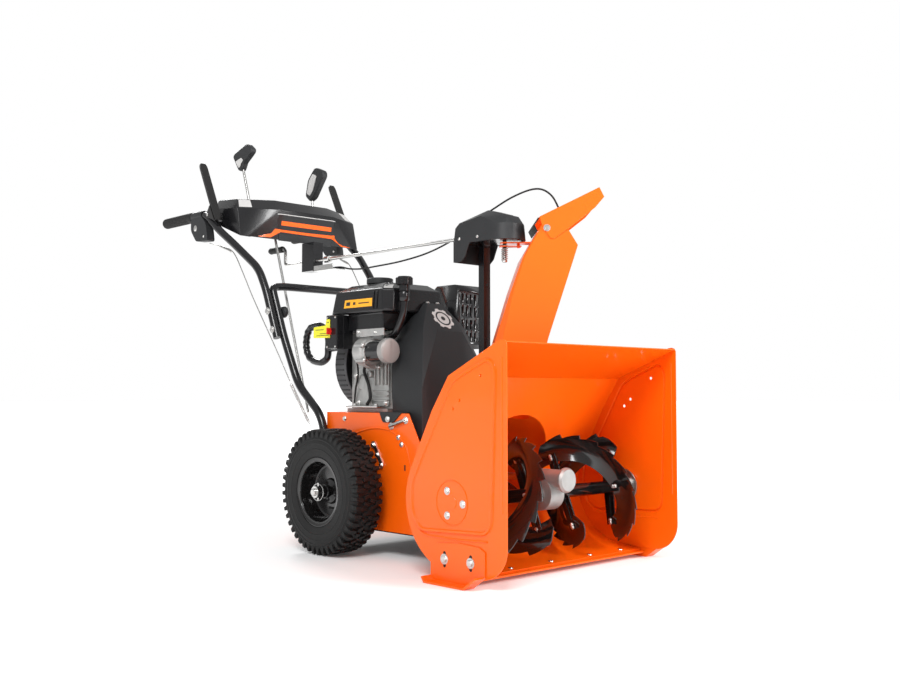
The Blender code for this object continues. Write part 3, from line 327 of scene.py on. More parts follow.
def merge(*shapes):
    whole = bmesh.new()
    for shape in shapes:
        mesh = bpy.data.meshes.new("part")
        shape.to_mesh(mesh)
        shape.free()
        whole.from_mesh(mesh)
        bpy.data.meshes.remove(mesh)
    return whole


def place(shape, origin, facing):
    """Turn a shape made about +Z so that it faces a direction, and move it to origin."""
    aim = Vector(facing).to_track_quat("Z", "Y").to_matrix().to_4x4()
    bmesh.ops.transform(shape, matrix=Matrix.Translation(Vector(origin)) @ aim, verts=shape.verts)
    return shape


def bolt(origin, facing, size=0.0065, height=0.0045, washer=1.45):
    """Hex head with a chamfered top on a washer; size is the head's half width across corners."""
    head = turn([(0, 0.0012), (size, 0.0012), (size, height - size * 0.12), (size * 0.84, height),
                 (0, height)], 6)
    disc = turn([(0, -0.0006), (size * washer, -0.0006), (size * washer, 0.0009),
                 (size * washer * 0.93, 0.0014),
                 (0, 0.0014)], 24)
    return place(merge(head, disc), origin, facing)


def screw(origin, facing, size=0.0042):
    """Round head."""
    head = turn([(0, -0.0006), (size, -0.0006), (size, 0.0006), (size * 0.8, 0.0017), (size * 0.4, 0.0022),
                 (0, 0.0022)], 20)
    return place(head, origin, facing)


# ---------------------------------------------------------------- pieces
def piece(name, shape, look, body="tractor", stands_for=(), bevel=0.0, smooth=38, segments=2):
    bmesh.ops.recalc_face_normals(shape, faces=shape.faces)
    bmesh.ops.translate(shape, verts=shape.verts, vec=(0, AXLE_Y, 0))
    mesh = bpy.data.meshes.new(name)
    shape.to_mesh(mesh)
    shape.free()
    mesh.materials.append(look)
    mesh.shade_smooth()
    obj = bpy.data.objects.new(name, mesh)
    bpy.context.scene.collection.objects.link(obj)
    if bevel:
        soft_edges(obj, bevel, segments)
    else:
        mesh.set_sharp_from_angle(angle=math.radians(smooth))
    if body:
        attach(obj, body)
    if stands_for:
        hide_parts(*stands_for)
    return obj


def soft_edges(obj, width, segments=2, angle=28):
    edges = obj.modifiers.new("edges", "BEVEL")
    edges.width = width
    edges.segments = segments
    edges.limit_method = "ANGLE"
    edges.angle_limit = math.radians(angle)
    edges.harden_normals = True
    edges.miter_outer = "MITER_ARC"


def dress(look, bevel, *nodes, angle=28, segments=2):
    """Keep CAD nodes as they are, with rounded edges and a real material."""
    for name in nodes:
        obj = frame["nodes"][name]
        mesh = obj.data
        if "custom_normal" in mesh.attributes:
            mesh.attributes.remove(mesh.attributes["custom_normal"])
        mesh.materials.clear()
        mesh.materials.append(look)
        weld = obj.modifiers.new("weld", "WELD")
        weld.merge_threshold = 0.00002
        flat = obj.modifiers.new("flat", "DECIMATE")
        flat.decimate_type = "DISSOLVE"
        flat.angle_limit = math.radians(0.6)
        mesh.shade_smooth()
        if bevel:
            soft_edges(obj, bevel, segments, angle)


# ---------------------------------------------------------------- the CAD nodes that stay
dress(ORANGE, 0.0012, "tractor_frame", "scraper_bar", "skid_shoe_R", "skid_shoe_L")
dress(ORANGE, 0.0008, "housing_wrap", "impeller_drum", "chute", "deflector")
dress(BLACK, 0.001, "belly_pan", "chute_post", "crank_bracket", "muffler")
dress(BLACK, 0.0, "muffler_guard")
dress(SATIN, 0.003, "belt_cover", "chute_gear_cover", segments=3)
dress(GLOSS, 0.003, "control_box", segments=3)
dress(GLOSS, 0.0035, "console", segments=3)
dress(GLOSS, 0.0045, "fuel_tank", segments=3)
dress(SATIN, 0.0012, "fuel_cap")
dress(CAST, 0.0022, "engine_block", "auger_gearbox", segments=3)
dress(CAST, 0.001, "drive_plate")
dress(ZINC, 0.0006, "crankshaft_pulley", "impeller_shaft", "auger_shaft", "drive_axle", "hex_shaft",
      "auger_bearing_R", "auger_bearing_L", "shift_rod", "chute_crank")
dress(RUBBER_AND_SHADE, 0.0008, "friction_wheel", "auger_belt", "traction_belt")
dress(RED, 0.0008, "starter_key")


# ---------------------------------------------------------------- wheels
WHEEL_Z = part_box("tyre_R")[1].z / 2


def block(x0, x1, a0, a1, half, low, high, fall=0.0):
    """A tread block from (x0, angle a0) to (x1, a1); fall lowers the end at x1."""
    points = []
    for x, a, drop in ((x0, a0, 0.0), (x1, a1, fall)):
        for sign in (-1, 1):
            for r, grow in ((low - drop, 1.2), (high - drop, 0.85)):
                angle = a + sign * half * grow / r
                points.append((x, r * math.sin(angle), r * math.cos(angle)))
    return points


def wheels():
    pitches = 46
    for tag, side in (("R", -1), ("L", 1)):
        profile = [(0.0783, 0.2003), (0.09, 0.2003), (0.0912, 0.1955), (0.104, 0.1925), (0.122, 0.1922),
                   (0.138, 0.1945), (0.149, 0.1995), (0.1565, 0.208), (0.1575, 0.2415), (0.1565, 0.275),
                   (0.149, 0.2835), (0.1385, 0.2877), (0.1375, 0.2888), (0.1355, 0.2888), (0.1345, 0.288),
                   (0.127, 0.2893), (0.1262, 0.29), (0.1246, 0.29), (0.1238, 0.2893), (0.112, 0.2893),
                   (0.1112, 0.29), (0.1096, 0.29), (0.1088, 0.289), (0.1, 0.288), (0.0912, 0.2862),
                   (0.09, 0.2827), (0.0783, 0.2827)]
        carcass = turn([(r, side * x) for r, x in profile], 96, (0, 0, WHEEL_Z), "X")
        blocks = []
        step = math.tau / pitches
        for k in range(pitches):
            base = step * k
            tall, edge = 0.163, 0.0052
            for points in (
                    block(0.262, 0.283, base, base + step * 0.12, edge, 0.153, tall, 0.001),
                    block(0.283, 0.2866, base + step * 0.12, base + step * 0.14, edge, 0.147,
                          tall - 0.0012, 0.006),
                    block(0.221, 0.2, base + step * 0.5, base + step * 0.62, edge, 0.153, tall, 0.001),
                    block(0.2, 0.1964, base + step * 0.62, base + step * 0.64, edge, 0.147, tall - 0.0012,
                          0.006),
                    block(0.2435, 0.2585, base + step * 0.42, base + step * (0.62 if k % 2 else 0.22),
                          0.0046, 0.153, tall),
                    block(0.2395, 0.2245, base + step * 0.92, base + step * (0.72 if k % 2 else 1.12),
                          0.0046, 0.153, tall)):
                blocks.append(hull([(side * x, y, z + WHEEL_Z) for x, y, z in points]))
        piece(f"tyre_tread_{tag}", merge(carcass, *blocks), TREAD, "wheels", [f"tyre_{tag}"], bevel=0.0006)

        bore = 0.01
        rim = [(bore, 0.215), (bore, 0.2918), (0.0135, 0.292), (0.0155, 0.2905), (0.0155, 0.264),
               (0.0185, 0.2628), (0.0185, 0.258), (0.0155, 0.2568), (0.0155, 0.25), (0.023, 0.2462),
               (0.03, 0.2455), (0.034, 0.24), (0.064, 0.24), (0.069, 0.2425), (0.0715, 0.248),
               (0.0725, 0.264), (0.0765, 0.274), (0.0775, 0.281), (0.08, 0.2838), (0.085, 0.2842),
               (0.0878, 0.2855), (0.0895, 0.285), (0.09, 0.283), (0.078, 0.2828), (0.078, 0.2),
               (0.09, 0.2), (0.0895, 0.1978), (0.0755, 0.1978), (0.071, 0.207), (0.07, 0.236),
               (0.064, 0.238), (0.016, 0.238), (0.016, 0.215)]
        piece(f"rim_dish_{tag}", turn([(r, side * x) for r, x in rim], 96, (0, 0, WHEEL_Z), "X"), AUGER,
              "wheels", [f"rim_{tag}"], smooth=32)
        loop = []
        for k in range(33):
            angle = math.tau * k / 32
            loop.append((side * (0.282 + 0.0016 * math.sin(angle)), 0.0215 * math.sin(angle) + 0.002,
                         WHEEL_Z - 0.001 + 0.0215 * math.cos(angle)))
        pin = merge(sweep(loop, 0.0013, 8), rod(0.0024, -0.0235, 0.0235, (side * 0.282, 0, WHEEL_Z), "Z",
                                                12, 0.0006),
                    turn([(0.0097, side * 0.2922), (0.015, side * 0.2922), (0.015, side * 0.2938),
                          (0.0097, side * 0.2938)], 32, (0, 0, WHEEL_Z), "X"))
        piece(f"klick_pin_{tag}", pin, ZINC, "wheels", smooth=40)
        stem = merge(rod(0.0042, 0, 0.012, (0, 0, 0), "Z", 16, 0.001),
                     rod(0.0026, 0.011, 0.024, (0, 0, 0), "Z", 16, 0.0006),
                     rod(0.0034, 0.023, 0.031, (0, 0, 0), "Z", 16, 0.0008))
        piece(f"valve_stem_{tag}", place(stem, (side * 0.252, -0.05, WHEEL_Z - 0.042), (side, 0.25, 0.2)),
              RUBBER_AND_SHADE,
              "wheels")


# ---------------------------------------------------------------- auger housing
AUGER_Y, AUGER_Z = -0.532, PIVOT["auger_spin"].z
DRUM_Z = PIVOT["impeller_spin"].z
CHUTE_Y = -0.4
CHUTE_TURN = 48              # how far the chute is turned to the machine's left, degrees
ROD_Z = PIVOT["chute_crank_turn"].z
PLATE_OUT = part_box("side_plate_L")[1].x


def panel(outer, x_of, steps, holes=()):
    """A flat sheet with stepped panels: steps holds (outline, height) from outside in."""
    bm = bmesh.new()

    def ring(outline, height):
        return [bm.verts.new((x_of(height), y, z)) for y, z in outline]

    def edges_of(row):
        found = []
        for i, vert in enumerate(row):
            pair = (vert, row[(i + 1) % len(row)])
            found.append(bm.edges.get(pair) or bm.edges.new(pair))
        return found

    rings = [ring(outer, 0.0)] + [ring(outline, height) for outline, height in steps]
    punched = [ring(hole, steps[-1][1]) for hole in holes]
    for i, (first, second) in enumerate(zip(rings, rings[1:])):
        if len(first) == len(second) and i:
            for k in range(len(first)):
                n = (k + 1) % len(first)
                bm.faces.new((first[k], first[n], second[n], second[k]))
        else:
            bmesh.ops.triangle_fill(bm, edges=edges_of(first) + edges_of(second), use_beauty=True)
    inside = edges_of(rings[-1])
    for hole in punched:
        inside += edges_of(hole)
    bmesh.ops.triangle_fill(bm, edges=inside, use_beauty=True)
    return bm


def grown(loop, distance):
    """A closed counter-clockwise outline moved outwards."""
    out = []
    for i, point in enumerate(loop):
        here = Vector(point)
        a = (here - Vector(loop[i - 1])).normalized()
        b = (Vector(loop[(i + 1) % len(loop)]) - here).normalized()
        normal = (Vector((a.y, -a.x)) + Vector((b.y, -b.x))).normalized()
        out.append(tuple(here + normal * distance / max(0.5, normal.dot(Vector((a.y, -a.x))))))
    return out


def arc(cy, cz, radius, start, end, steps):
    points = []
    for k in range(steps + 1):
        angle = math.radians(start + (end - start) * k / steps)
        points.append((cy + radius * math.cos(angle), cz + radius * math.sin(angle)))
    return points


def side_plates():
    trough = 0.154
    low = math.degrees(math.asin((0.248 - AUGER_Z) / trough))
    outline = ([(-0.698, 0.524), (-0.694, 0.531), (-0.686, 0.5335), (-0.676, 0.5325), (-0.519, 0.458),
                (-0.465, 0.379)]
               + arc(AUGER_Y, AUGER_Z, trough, low, -78, 26) + arc(-0.628, 0.093, 0.07, -90, -180, 12))
    emboss = soften([(-0.657, 0.468), (-0.645, 0.486), (-0.538, 0.441), (-0.405, 0.209), (-0.408, 0.15),
                     (-0.431, 0.117), (-0.644, 0.126)], 0.022, 6)
    bearing = arc(AUGER_Y, AUGER_Z, 0.05, 0, 350, 35)
    holes = []
    for y, z in ((-0.556, 0.403), (-0.536, 0.385), (-0.621, 0.457)):
        holes.append(arc(y, z, 0.0038, 0, 330, 11))
    for tag, side in (("R", -1), ("L", 1)):
        inner = emboss[::-1]
        base = side * (PLATE_OUT - 0.0012)
        sheet = panel(outline[::-1], lambda height, base=base, side=side: base + side * height,
                      [(grown(inner, 0.0105), 0.0), (grown(inner, 0.0082), 0.0052),
                       (grown(inner, 0.0048), 0.0052), (grown(inner, 0.0026), 0.0016)], holes)
        obj = piece(f"side_plate_{tag}_pressed", sheet, ORANGE, "tractor", [f"side_plate_{tag}"],
                    smooth=180)
        wall = obj.modifiers.new("wall", "SOLIDIFY")
        wall.thickness = 0.0021
        wall.offset = 0.0
        soft_edges(obj, 0.0009, 2, 14)
        x = side * (PLATE_OUT - 0.0006)
        ribs = [sweep([(x, -0.6835, 0.165), (x, -0.6835, 0.495)], 0.0026, 14),
                sweep(rounded([(x, -0.64, 0.103), (x, -0.56, 0.099), (x, -0.45, 0.099), (x, -0.428, 0.106)],
                              0.01, 4), 0.0026, 14)]
        piece(f"side_ribs_{tag}", merge(*ribs), ORANGE, smooth=60)
        x = side * (PLATE_OUT + 0.0014)
        ring = [(0.0475, -0.001), (0.0505, -0.001), (0.05, 0.0012), (0.049, 0.0016), (0.048, 0.0012)]
        hub = merge(turn([(r, x + side * a) for r, a in ring], 72, (0, AUGER_Y, AUGER_Z), "X"),
                    rod(0.015, x - 0.001, x + 0.002, (0, AUGER_Y, AUGER_Z), "X", 40, 0.0006))
        piece(f"bearing_boss_{tag}", hub, ORANGE, smooth=40)
        fixings = [bolt((x, y, z), (side, 0, 0), 0.0062, 0.0048) for y, z in
                   ((-0.518, 0.203), (-0.567, 0.177), (-0.518, 0.149))]
        fixings += [bolt((side * (PLATE_OUT + 0.0036), y, z), (side, 0, 0), 0.008, 0.0058, 1.5) for y, z in
                    ((-0.511, 0.053), (-0.593, 0.053))]
        piece(f"side_bolts_{tag}", merge(*fixings), ZINC, smooth=30)
        # Painted shade: thin dark plates stand for the open skid-shoe slots round the bolts.
        gaps = []
        for y in (-0.511, -0.593):
            slot = arc(y, 0.066, 0.0046, 0, 180, 8) + arc(y, 0.039, 0.0046, 180, 360, 8)
            gaps.append(prism(slot, "X", side * (PLATE_OUT + 0.0002), side * (PLATE_OUT + 0.0026)))
        piece(f"skid_slot_shade_{tag}", merge(*gaps), RUBBER_AND_SHADE)


def ribbon(x_of, start, swept, inner, outer, thick, teeth, side):
    """A helical flight: a smooth band with saw teeth along its outer edge."""
    root = outer - 0.0105

    def row(t, low, high):
        angle = math.radians(start + swept * t)
        radii = [low + (high - low) * k / 4 for k in range(5)]
        points = []
        for offset, order in ((-thick / 2, radii), (thick / 2, radii[::-1])):
            for radius in order:
                bow = 0.012 * side * math.sin(math.pi * (radius - inner) / (outer - inner))
                points.append((x_of(t) + offset + bow, AUGER_Y + radius * math.cos(angle),
                               AUGER_Z + radius * math.sin(angle)))
        return points

    band = []
    for k in range(teeth * 4 + 1):
        t = k / (teeth * 4)
        width = min(1.0, 0.5 + 9 * t, 0.5 + 9 * (1 - t))
        band.append(row(t, inner, inner + (root - inner) * width))
    parts = [loft(band)]
    for k in range(teeth):
        t, step = k / teeth, 0.97 / teeth
        if 0 < k < teeth - 1:
            parts.append(loft([row(t + step * n / 3, root - 0.004,
                                   root + 0.0008 + (outer - root - 0.0008) * n / 3)
                               for n in range(4)]))
    return merge(*parts)


def spoke(x, angle, reach):
    """A flat bar with a pressed rib, from the auger tube out to a flight."""
    turned = math.radians(angle)
    along = Vector((math.cos(turned), math.sin(turned)))
    across = Vector((-along.y, along.x))
    centre = Vector((AUGER_Y, AUGER_Z))
    parts = []
    for half, thick, near, far in ((0.015, 0.004, 0.014, reach), (0.0035, 0.0085, 0.022, reach - 0.018)):
        start, end = centre + along * near, centre + along * far
        outline = [start - across * half, end - across * half * 0.85, end + across * half * 0.85,
                   start + across * half]
        parts.append(prism([tuple(p) for p in outline], "X", x - thick / 2, x + thick / 2))
    return merge(*parts)


def augers():
    first_x, last_x, swept, start = 0.043, 0.258, 232.0, (44.0, 224.0)
    for tag, side in (("R", -1), ("L", 1)):
        parts = [turn([(r, side * x) for r, x in ((0.0129, 0.03), (0.0172, 0.03), (0.0172, 0.042),
                                                  (0.0162, 0.043),
                                                  (0.0162, 0.27), (0.0172, 0.271), (0.0172, 0.2855),
                                                  (0.0129, 0.2855))],
                      40, (0, AUGER_Y, AUGER_Z), "X")]
        bolts = []
        for begin in start:
            def x_of(t, side=side):
                return side * (first_x + (last_x - first_x) * t)
            parts.append(ribbon(x_of, begin, swept, 0.074, 0.14, 0.0034, 12, side))
            for t in (0.1, 0.55, 0.95):
                angle = begin + swept * t
                parts.append(spoke(x_of(t), angle, 0.096))
                for r in (0.084, 0.091):
                    y = AUGER_Y + r * math.cos(math.radians(angle))
                    z = AUGER_Z + r * math.sin(math.radians(angle))
                    bolts.append(bolt((x_of(t) - 0.0052, y, z), (-1, 0, 0), 0.004, 0.003, 1.25))
        for x in (0.055, 0.262):
            bolts.append(bolt((side * x, AUGER_Y, AUGER_Z + 0.0165), (0, 0, 1), 0.0062, 0.0045))
            bolts.append(rod(0.0035, -0.024, -0.0155, (side * x, AUGER_Y, AUGER_Z), "Z", 12))
        piece(f"auger_flights_{tag}", merge(*parts), AUGER, "augers", [f"auger_rake_{tag}"], bevel=0.0007)
        piece(f"auger_bolts_{tag}", merge(*bolts), ZINC, "augers", smooth=30)


def impeller():
    """Three bent blades with gussets on a hub, seen through the mouth of the drum."""
    axis = (0, 0, DRUM_Z)
    parts = [turn([(0.0098, -0.378), (0.018, -0.378), (0.018, -0.284), (0.0098, -0.284)], 32, axis, "Y")]
    for k in range(3):
        angle = math.radians(90 + 120 * k)
        along = Vector((math.cos(angle), math.sin(angle)))
        across = Vector((-along.y, along.x))
        centre = Vector((0, DRUM_Z))
        outline = [centre + along * a + across * b for a, b in
                   ((0.0165, -0.0015), (0.138, -0.0015), (0.1465, 0.014), (0.144, 0.0155), (0.1365, 0.0015),
                    (0.0165, 0.0015))]
        parts.append(prism([tuple(p) for p in outline], "Y", -0.376, -0.286))
        gusset = [centre + along * a + across * b
                  for a, b in ((0.014, 0.001), (0.095, 0.001), (0.014, 0.03))]
        parts.append(prism([tuple(p) for p in gusset], "Y", -0.29, -0.287))
    piece("impeller_fan", merge(*parts), AUGER, "impeller", ["impeller"], bevel=0.0008)


def scraper_bolts():
    heads = [turn([(0, 0.0), (0.0072, 0.0), (0.0066, 0.0016), (0.004, 0.0026), (0, 0.003)], 20,
                  (x, -0.566, 0.0215))
             for x in (-0.265, -0.161, -0.021, 0.124, 0.248)]
    piece("scraper_bolts", merge(*heads), ZINC, smooth=40)


# ---------------------------------------------------------------- engine
ROPE_X, ROPE_Z = -0.085, 0.545   # the recoil rope's line, along Y
FILLER = (-0.112, -0.142)        # the oil filler's upright axis


def engine():
    sx, sz = -0.155, 0.529
    body = [(0, -0.058), (0.0275, -0.058), (0.0275, -0.1225), (0, -0.1225)]
    piece("starter_motor", turn(body, 48, (sx, 0, sz), "Y"), GLOSS, stands_for=["electric_starter"],
          smooth=40)
    cap = [(0, -0.12), (0.032, -0.12), (0.033, -0.1225), (0.033, -0.136), (0.031, -0.1388),
           (0.027, -0.14), (0, -0.14)]
    piece("starter_cap", merge(turn(cap, 48, (sx, 0, sz), "Y"),
                               box(sx - 0.0016, sx + 0.0016, -0.14, -0.139, sz - 0.028, sz + 0.028)), GREY,
          bevel=0.0006)
    drive = [(0, -0.0205), (0.0345, -0.0205), (0.036, -0.0225), (0.036, -0.048), (0.0345, -0.052),
             (0.031, -0.056), (0.03, -0.062), (0.027, -0.064), (0, -0.064)]
    lug = soften([(-0.176, 0.497), (-0.136, 0.48), (-0.112, 0.486), (-0.104, 0.52), (-0.11, 0.56),
                  (-0.15, 0.566)],
                 0.012, 4)
    housing = merge(turn(drive, 48, (sx, 0, sz), "Y"), prism(lug, "Y", -0.052, -0.03),
                    *[rod(0.0062, -0.064, -0.03, (x, 0, z), "Y", 20, 0.001) for x, z in
                      ((-0.181, 0.505), (-0.128, 0.489), (-0.186, 0.545))])
    piece("starter_housing", housing, CAST, bevel=0.0012, segments=3)
    piece("starter_bolts", merge(*[bolt((x, -0.064, z), (0, -1, 0), 0.0046, 0.0038, 1.3) for x, z in
                                   ((-0.181, 0.505), (-0.128, 0.489), (-0.186, 0.545))]), ZINC, smooth=30)

    face = -0.105
    case = [prism(soften([(-0.082, 0.382), (0.052, 0.382), (0.07, 0.42), (0.06, 0.48), (0.0, 0.505),
                          (-0.082, 0.5)], 0.012, 4), "X", face - 0.009, face + 0.002)]
    for y in (-0.078, -0.062, -0.046, -0.03):
        case.append(prism([(y - 0.0016, 0.44), (y + 0.0016, 0.44), (y + 0.0016, 0.556),
                           (y - 0.0016, 0.556)], "X",
                          face - 0.0155, face - 0.004))
    for z in (0.398, 0.41, 0.422, 0.556):
        case.append(box(face - 0.015, face, -0.083, -0.01, z, z + 0.0036))
    case.append(rod(0.022, face - 0.016, face, (0, 0.022, 0.448), "X", 36, 0.003))
    case.append(rod(0.01, face - 0.024, face, (0, -0.016, 0.47), "X", 28, 0.002))
    case.append(hull([(face - 0.018, y, z) for y, z in ((-0.012, 0.385), (0.012, 0.385), (0.02, 0.43),
                                                        (0.0, 0.452))]
                     + [(face, y, z) for y, z in ((-0.02, 0.38), (0.02, 0.38), (0.032, 0.436),
                                                  (0.0, 0.462))]))
    piece("crankcase_ribs", merge(*case), CAST, bevel=0.0012, segments=3)
    fixings = [bolt((face - 0.0092, y, z), (-1, 0, 0), 0.0052, 0.0046, 1.3) for y, z in
               ((-0.07, 0.392), (0.045, 0.393), (0.056, 0.466), (-0.006, 0.496), (-0.072, 0.492))]
    fixings += [bolt((-0.1302, y, 0.385), (0, 0, 1), 0.0062, 0.0055, 1.4) for y in (-0.05, 0.04)]
    fixings += [bolt((-0.1448, y, z), (-1, 0, 0), 0.0042, 0.0034, 1.2)
                for y, z in ((0.01, 0.583), (-0.06, 0.58))]
    piece("engine_bolts", merge(*fixings), ZINC, smooth=30)
    feet = [box(-0.146, -0.098, -0.072, 0.062, 0.38, 0.3846),
            box(-0.1445, -0.142, -0.098, 0.018, 0.5705, 0.5915),
            box(-0.1445, -0.105, -0.096, -0.078, 0.5705, 0.573),
            box(-0.1445, -0.105, 0.0, 0.016, 0.5705, 0.573)]
    piece("engine_brackets", merge(*feet), ZINC, bevel=0.001)
    hoses = [sweep(smooth_line([(-0.128, -0.008, 0.5), (-0.134, -0.004, 0.478), (-0.13, -0.018, 0.44),
                                (-0.127, -0.022, 0.408), (-0.126, -0.006, 0.388)], 8), 0.0042, 16),
             sweep(smooth_line([(-0.15, 0.02, 0.545), (-0.146, 0.012, 0.5), (-0.128, 0.03, 0.47),
                                (-0.122, 0.048, 0.43), (-0.118, 0.058, 0.392)], 8), 0.0026, 12),
             sweep(smooth_line([(-0.135, -0.09, 0.566), (-0.128, -0.104, 0.56), (-0.118, -0.105, 0.54),
                                (-0.112, -0.092, 0.52)], 8), 0.004, 14)]
    piece("engine_hoses", merge(*hoses), RUBBER_AND_SHADE, smooth=60)
    tube = sweep(rounded([(-0.098, -0.055, 0.565), (-0.12, -0.118, 0.574), (-0.114, -0.139, 0.62),
                          (-0.112, -0.142, 0.65), (-0.112, -0.142, 0.685)], 0.03, 8), 0.0097, 28)
    collar = turn([(0.009, 0.66), (0.0128, 0.66), (0.0145, 0.664), (0.0145, 0.683), (0.0128, 0.6862),
                   (0.009, 0.6862)], 32, (*FILLER, 0))
    piece("oil_filler_tube", merge(tube, collar), GLOSS, bevel=0.0006)
    grips = []
    for k in range(16):
        angle = math.tau * k / 16
        grips.append(rod(0.0021, 0.7045, 0.7225, (FILLER[0] + 0.0207 * math.cos(angle),
                                                  FILLER[1] + 0.0207 * math.sin(angle), 0),
                         "Z", 10, 0.0006))
    cap = turn([(0, 0.6872), (0.015, 0.6872), (0.015, 0.702), (0.0212, 0.704), (0.0212, 0.7225),
                (0.019, 0.7255),
                (0.015, 0.726), (0.014, 0.725), (0, 0.725)], 40, (*FILLER, 0))
    piece("oil_cap_knob", merge(cap, *grips), GLOSS, "oil_cap", ["oil_cap"], smooth=35)

    tank_rim = soften([(-0.1595, 0.112), (-0.1595, -0.108), (-0.137, -0.1265), (0.036, -0.1265),
                       (0.049, -0.11),
                       (0.049, 0.112)], 0.012, 4)
    piece("tank_seam", prism(tank_rim, "Z", 0.6385, 0.642), GLOSS, bevel=0.0012)
    flank = [(-0.158, 0.112, 0.634), (-0.158, -0.108, 0.634), (-0.156, -0.105, 0.695),
             (-0.156, 0.095, 0.695)]
    piece("tank_label", patch(flank, (0.24, 0.8), (0.26, 0.62), 0.0008), AMBER, bevel=0.0003)
    marks = [patch(flank, (0.28, 0.36), (0.36, 0.52), 0.0011),
             patch(flank, (0.42, 0.47), (0.38, 0.5), 0.0011),
             patch(flank, (0.53, 0.74), (0.41, 0.46), 0.0011)]
    piece("tank_label_marks", merge(*marks), SATIN)
    crease = [sweep([(-0.1592, y, 0.6425), (-0.1578, y - 0.002, 0.69), (-0.12, y - 0.02, 0.7142)], 0.0016,
                    12)
              for y in (-0.07, -0.084)]
    piece("tank_creases", merge(*crease), GLOSS, smooth=60)
    # Painted highlight: a pale plate on the tank's sloping top corner stands for the lamps' reflection in
    # the gloss.
    slope = [(-0.156, -0.105, 0.695), (-0.132, -0.124, 0.695), (-0.095, -0.09, 0.7145),
             (-0.118, -0.07, 0.7145)]
    piece("tank_corner_highlight", patch(slope, (0.1, 0.86), (0.08, 0.62), 0.0009), PALE, bevel=0.0003)

    tag = [(0.09, 0.6215), (0.106, 0.6215), (0.11, 0.605), (0.164, 0.602), (0.165, 0.572), (0.09, 0.57)]
    piece("key_tag", prism(soften(tag, 0.003, 3), "X", -0.18, -0.1786), YELLOW, bevel=0.0003)
    lines = [box(-0.1803, -0.1798, y0, y1, z, z + 0.0016) for y0, y1, z in
             ((0.095, 0.15, 0.577), (0.095, 0.135, 0.582), (0.118, 0.155, 0.593), (0.094, 0.104, 0.612))]
    piece("key_tag_print", merge(*lines), SATIN)
    piece("control_box_screws", merge(*[screw((-0.178, y, z), (-1, 0, 0), 0.003) for y, z in
                                        ((0.068, 0.546), (0.104, 0.546), (0.068, 0.626), (0.104, 0.626))]),
          ZINC)
    trim = prism(soften([(0.06, 0.538), (0.112, 0.538), (0.112, 0.6345), (0.06, 0.6345)], 0.006, 4), "X",
                 -0.156, -0.152)
    piece("control_box_seam", trim, GLOSS, bevel=0.0008)

    head = [box(0.1915, 0.1955, -0.016, 0.056, 0.479, 0.571)]
    for k in range(6):
        x = 0.078 + 0.0145 * k
        head.append(box(x, x + 0.0034, -0.032, 0.072, 0.476, 0.574))
    piece("cylinder_head", merge(*head), CAST, bevel=0.0012)
    plug = [bolt((0.1955, y, z), (1, 0, 0), 0.0052, 0.0044, 1.3)
            for y in (-0.008, 0.048) for z in (0.487, 0.563)]
    piece("head_bolts", merge(*plug), ZINC, smooth=30)
    lead = smooth_line([(0.193, 0.02, 0.525), (0.204, 0.03, 0.528), (0.203, 0.06, 0.54),
                        (0.17, 0.086, 0.56),
                        (0.115, 0.098, 0.565)], 8)
    piece("plug_lead", merge(sweep(lead, 0.0032, 14),
                             rod(0.0075, 0.195, 0.207, (0, 0.02, 0.525), "X", 24, 0.001)),
          RUBBER_AND_SHADE, smooth=50)

    fins = []
    cz = PIVOT["crank_spin"].z + 0.008
    for k in range(52):
        angle = math.tau * k / 52
        c, s = math.cos(angle), math.sin(angle)
        t = 0.0042
        points = []
        for radius, y in ((0.1236, 0.098), (0.1262, 0.098), (0.1262, 0.134), (0.108, 0.1448),
                          (0.106, 0.1428)):
            for side in (-t / 2, t / 2):
                points.append((radius * c - side * s, y, cz + radius * s + side * c))
        fins.append(hull(points))
    fins.append(turn([(0, 0.15), (0.06, 0.15), (0.06, 0.153), (0.056, 0.154), (0.03, 0.154), (0.028, 0.155),
                      (0, 0.155)], 48, (0, 0, cz), "Y"))
    piece("shroud_fins", merge(*fins), SATIN, bevel=0.0006)

    loop = [(0.2215, 0.548), (0.225, 0.523), (0.242, 0.511), (0.263, 0.508), (0.3, 0.5155), (0.323, 0.536),
            (0.33, 0.565), (0.323, 0.595), (0.305, 0.612), (0.27, 0.6165), (0.238, 0.604), (0.222, 0.576),
            (0.2215, 0.548)]
    line = smooth_line([(ROPE_X, y, z) for y, z in loop], 8)
    radii = []
    for point in line:
        bump = 0.0009 * math.cos(420 * point.z) if point.y > 0.3 else 0.0
        radii.append(0.0101 + bump)
    grip = sweep(line, radii, 24)
    stem = turn([(0, 0.18), (0.005, 0.18), (0.0062, 0.184), (0.008, 0.212), (0.01, 0.226), (0, 0.228)], 28,
                (ROPE_X, 0, ROPE_Z), "Y")
    piece("recoil_pull_handle", merge(grip, stem), GLOSS, "recoil_handle", ["recoil_handle"], smooth=60)
    eye = turn([(0.0032, 0.149), (0.009, 0.149), (0.009, 0.1545), (0.007, 0.157), (0.0032, 0.157)], 28,
               (ROPE_X, 0, ROPE_Z), "Y")
    piece("rope_eyelet", eye, ZINC, smooth=40)
    rope_line = [Vector((ROPE_X, 0.145 + 0.004 * k, ROPE_Z)) for k in range(12)]
    rope = piece("recoil_rope", sweep(rope_line, 0.0024, 12), RUBBER_AND_SHADE, None, smooth=60)
    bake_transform(rope)


# ---------------------------------------------------------------- frame and belt cover
FRAME_SIDE = 0.1652              # just outside the tractor frame's side


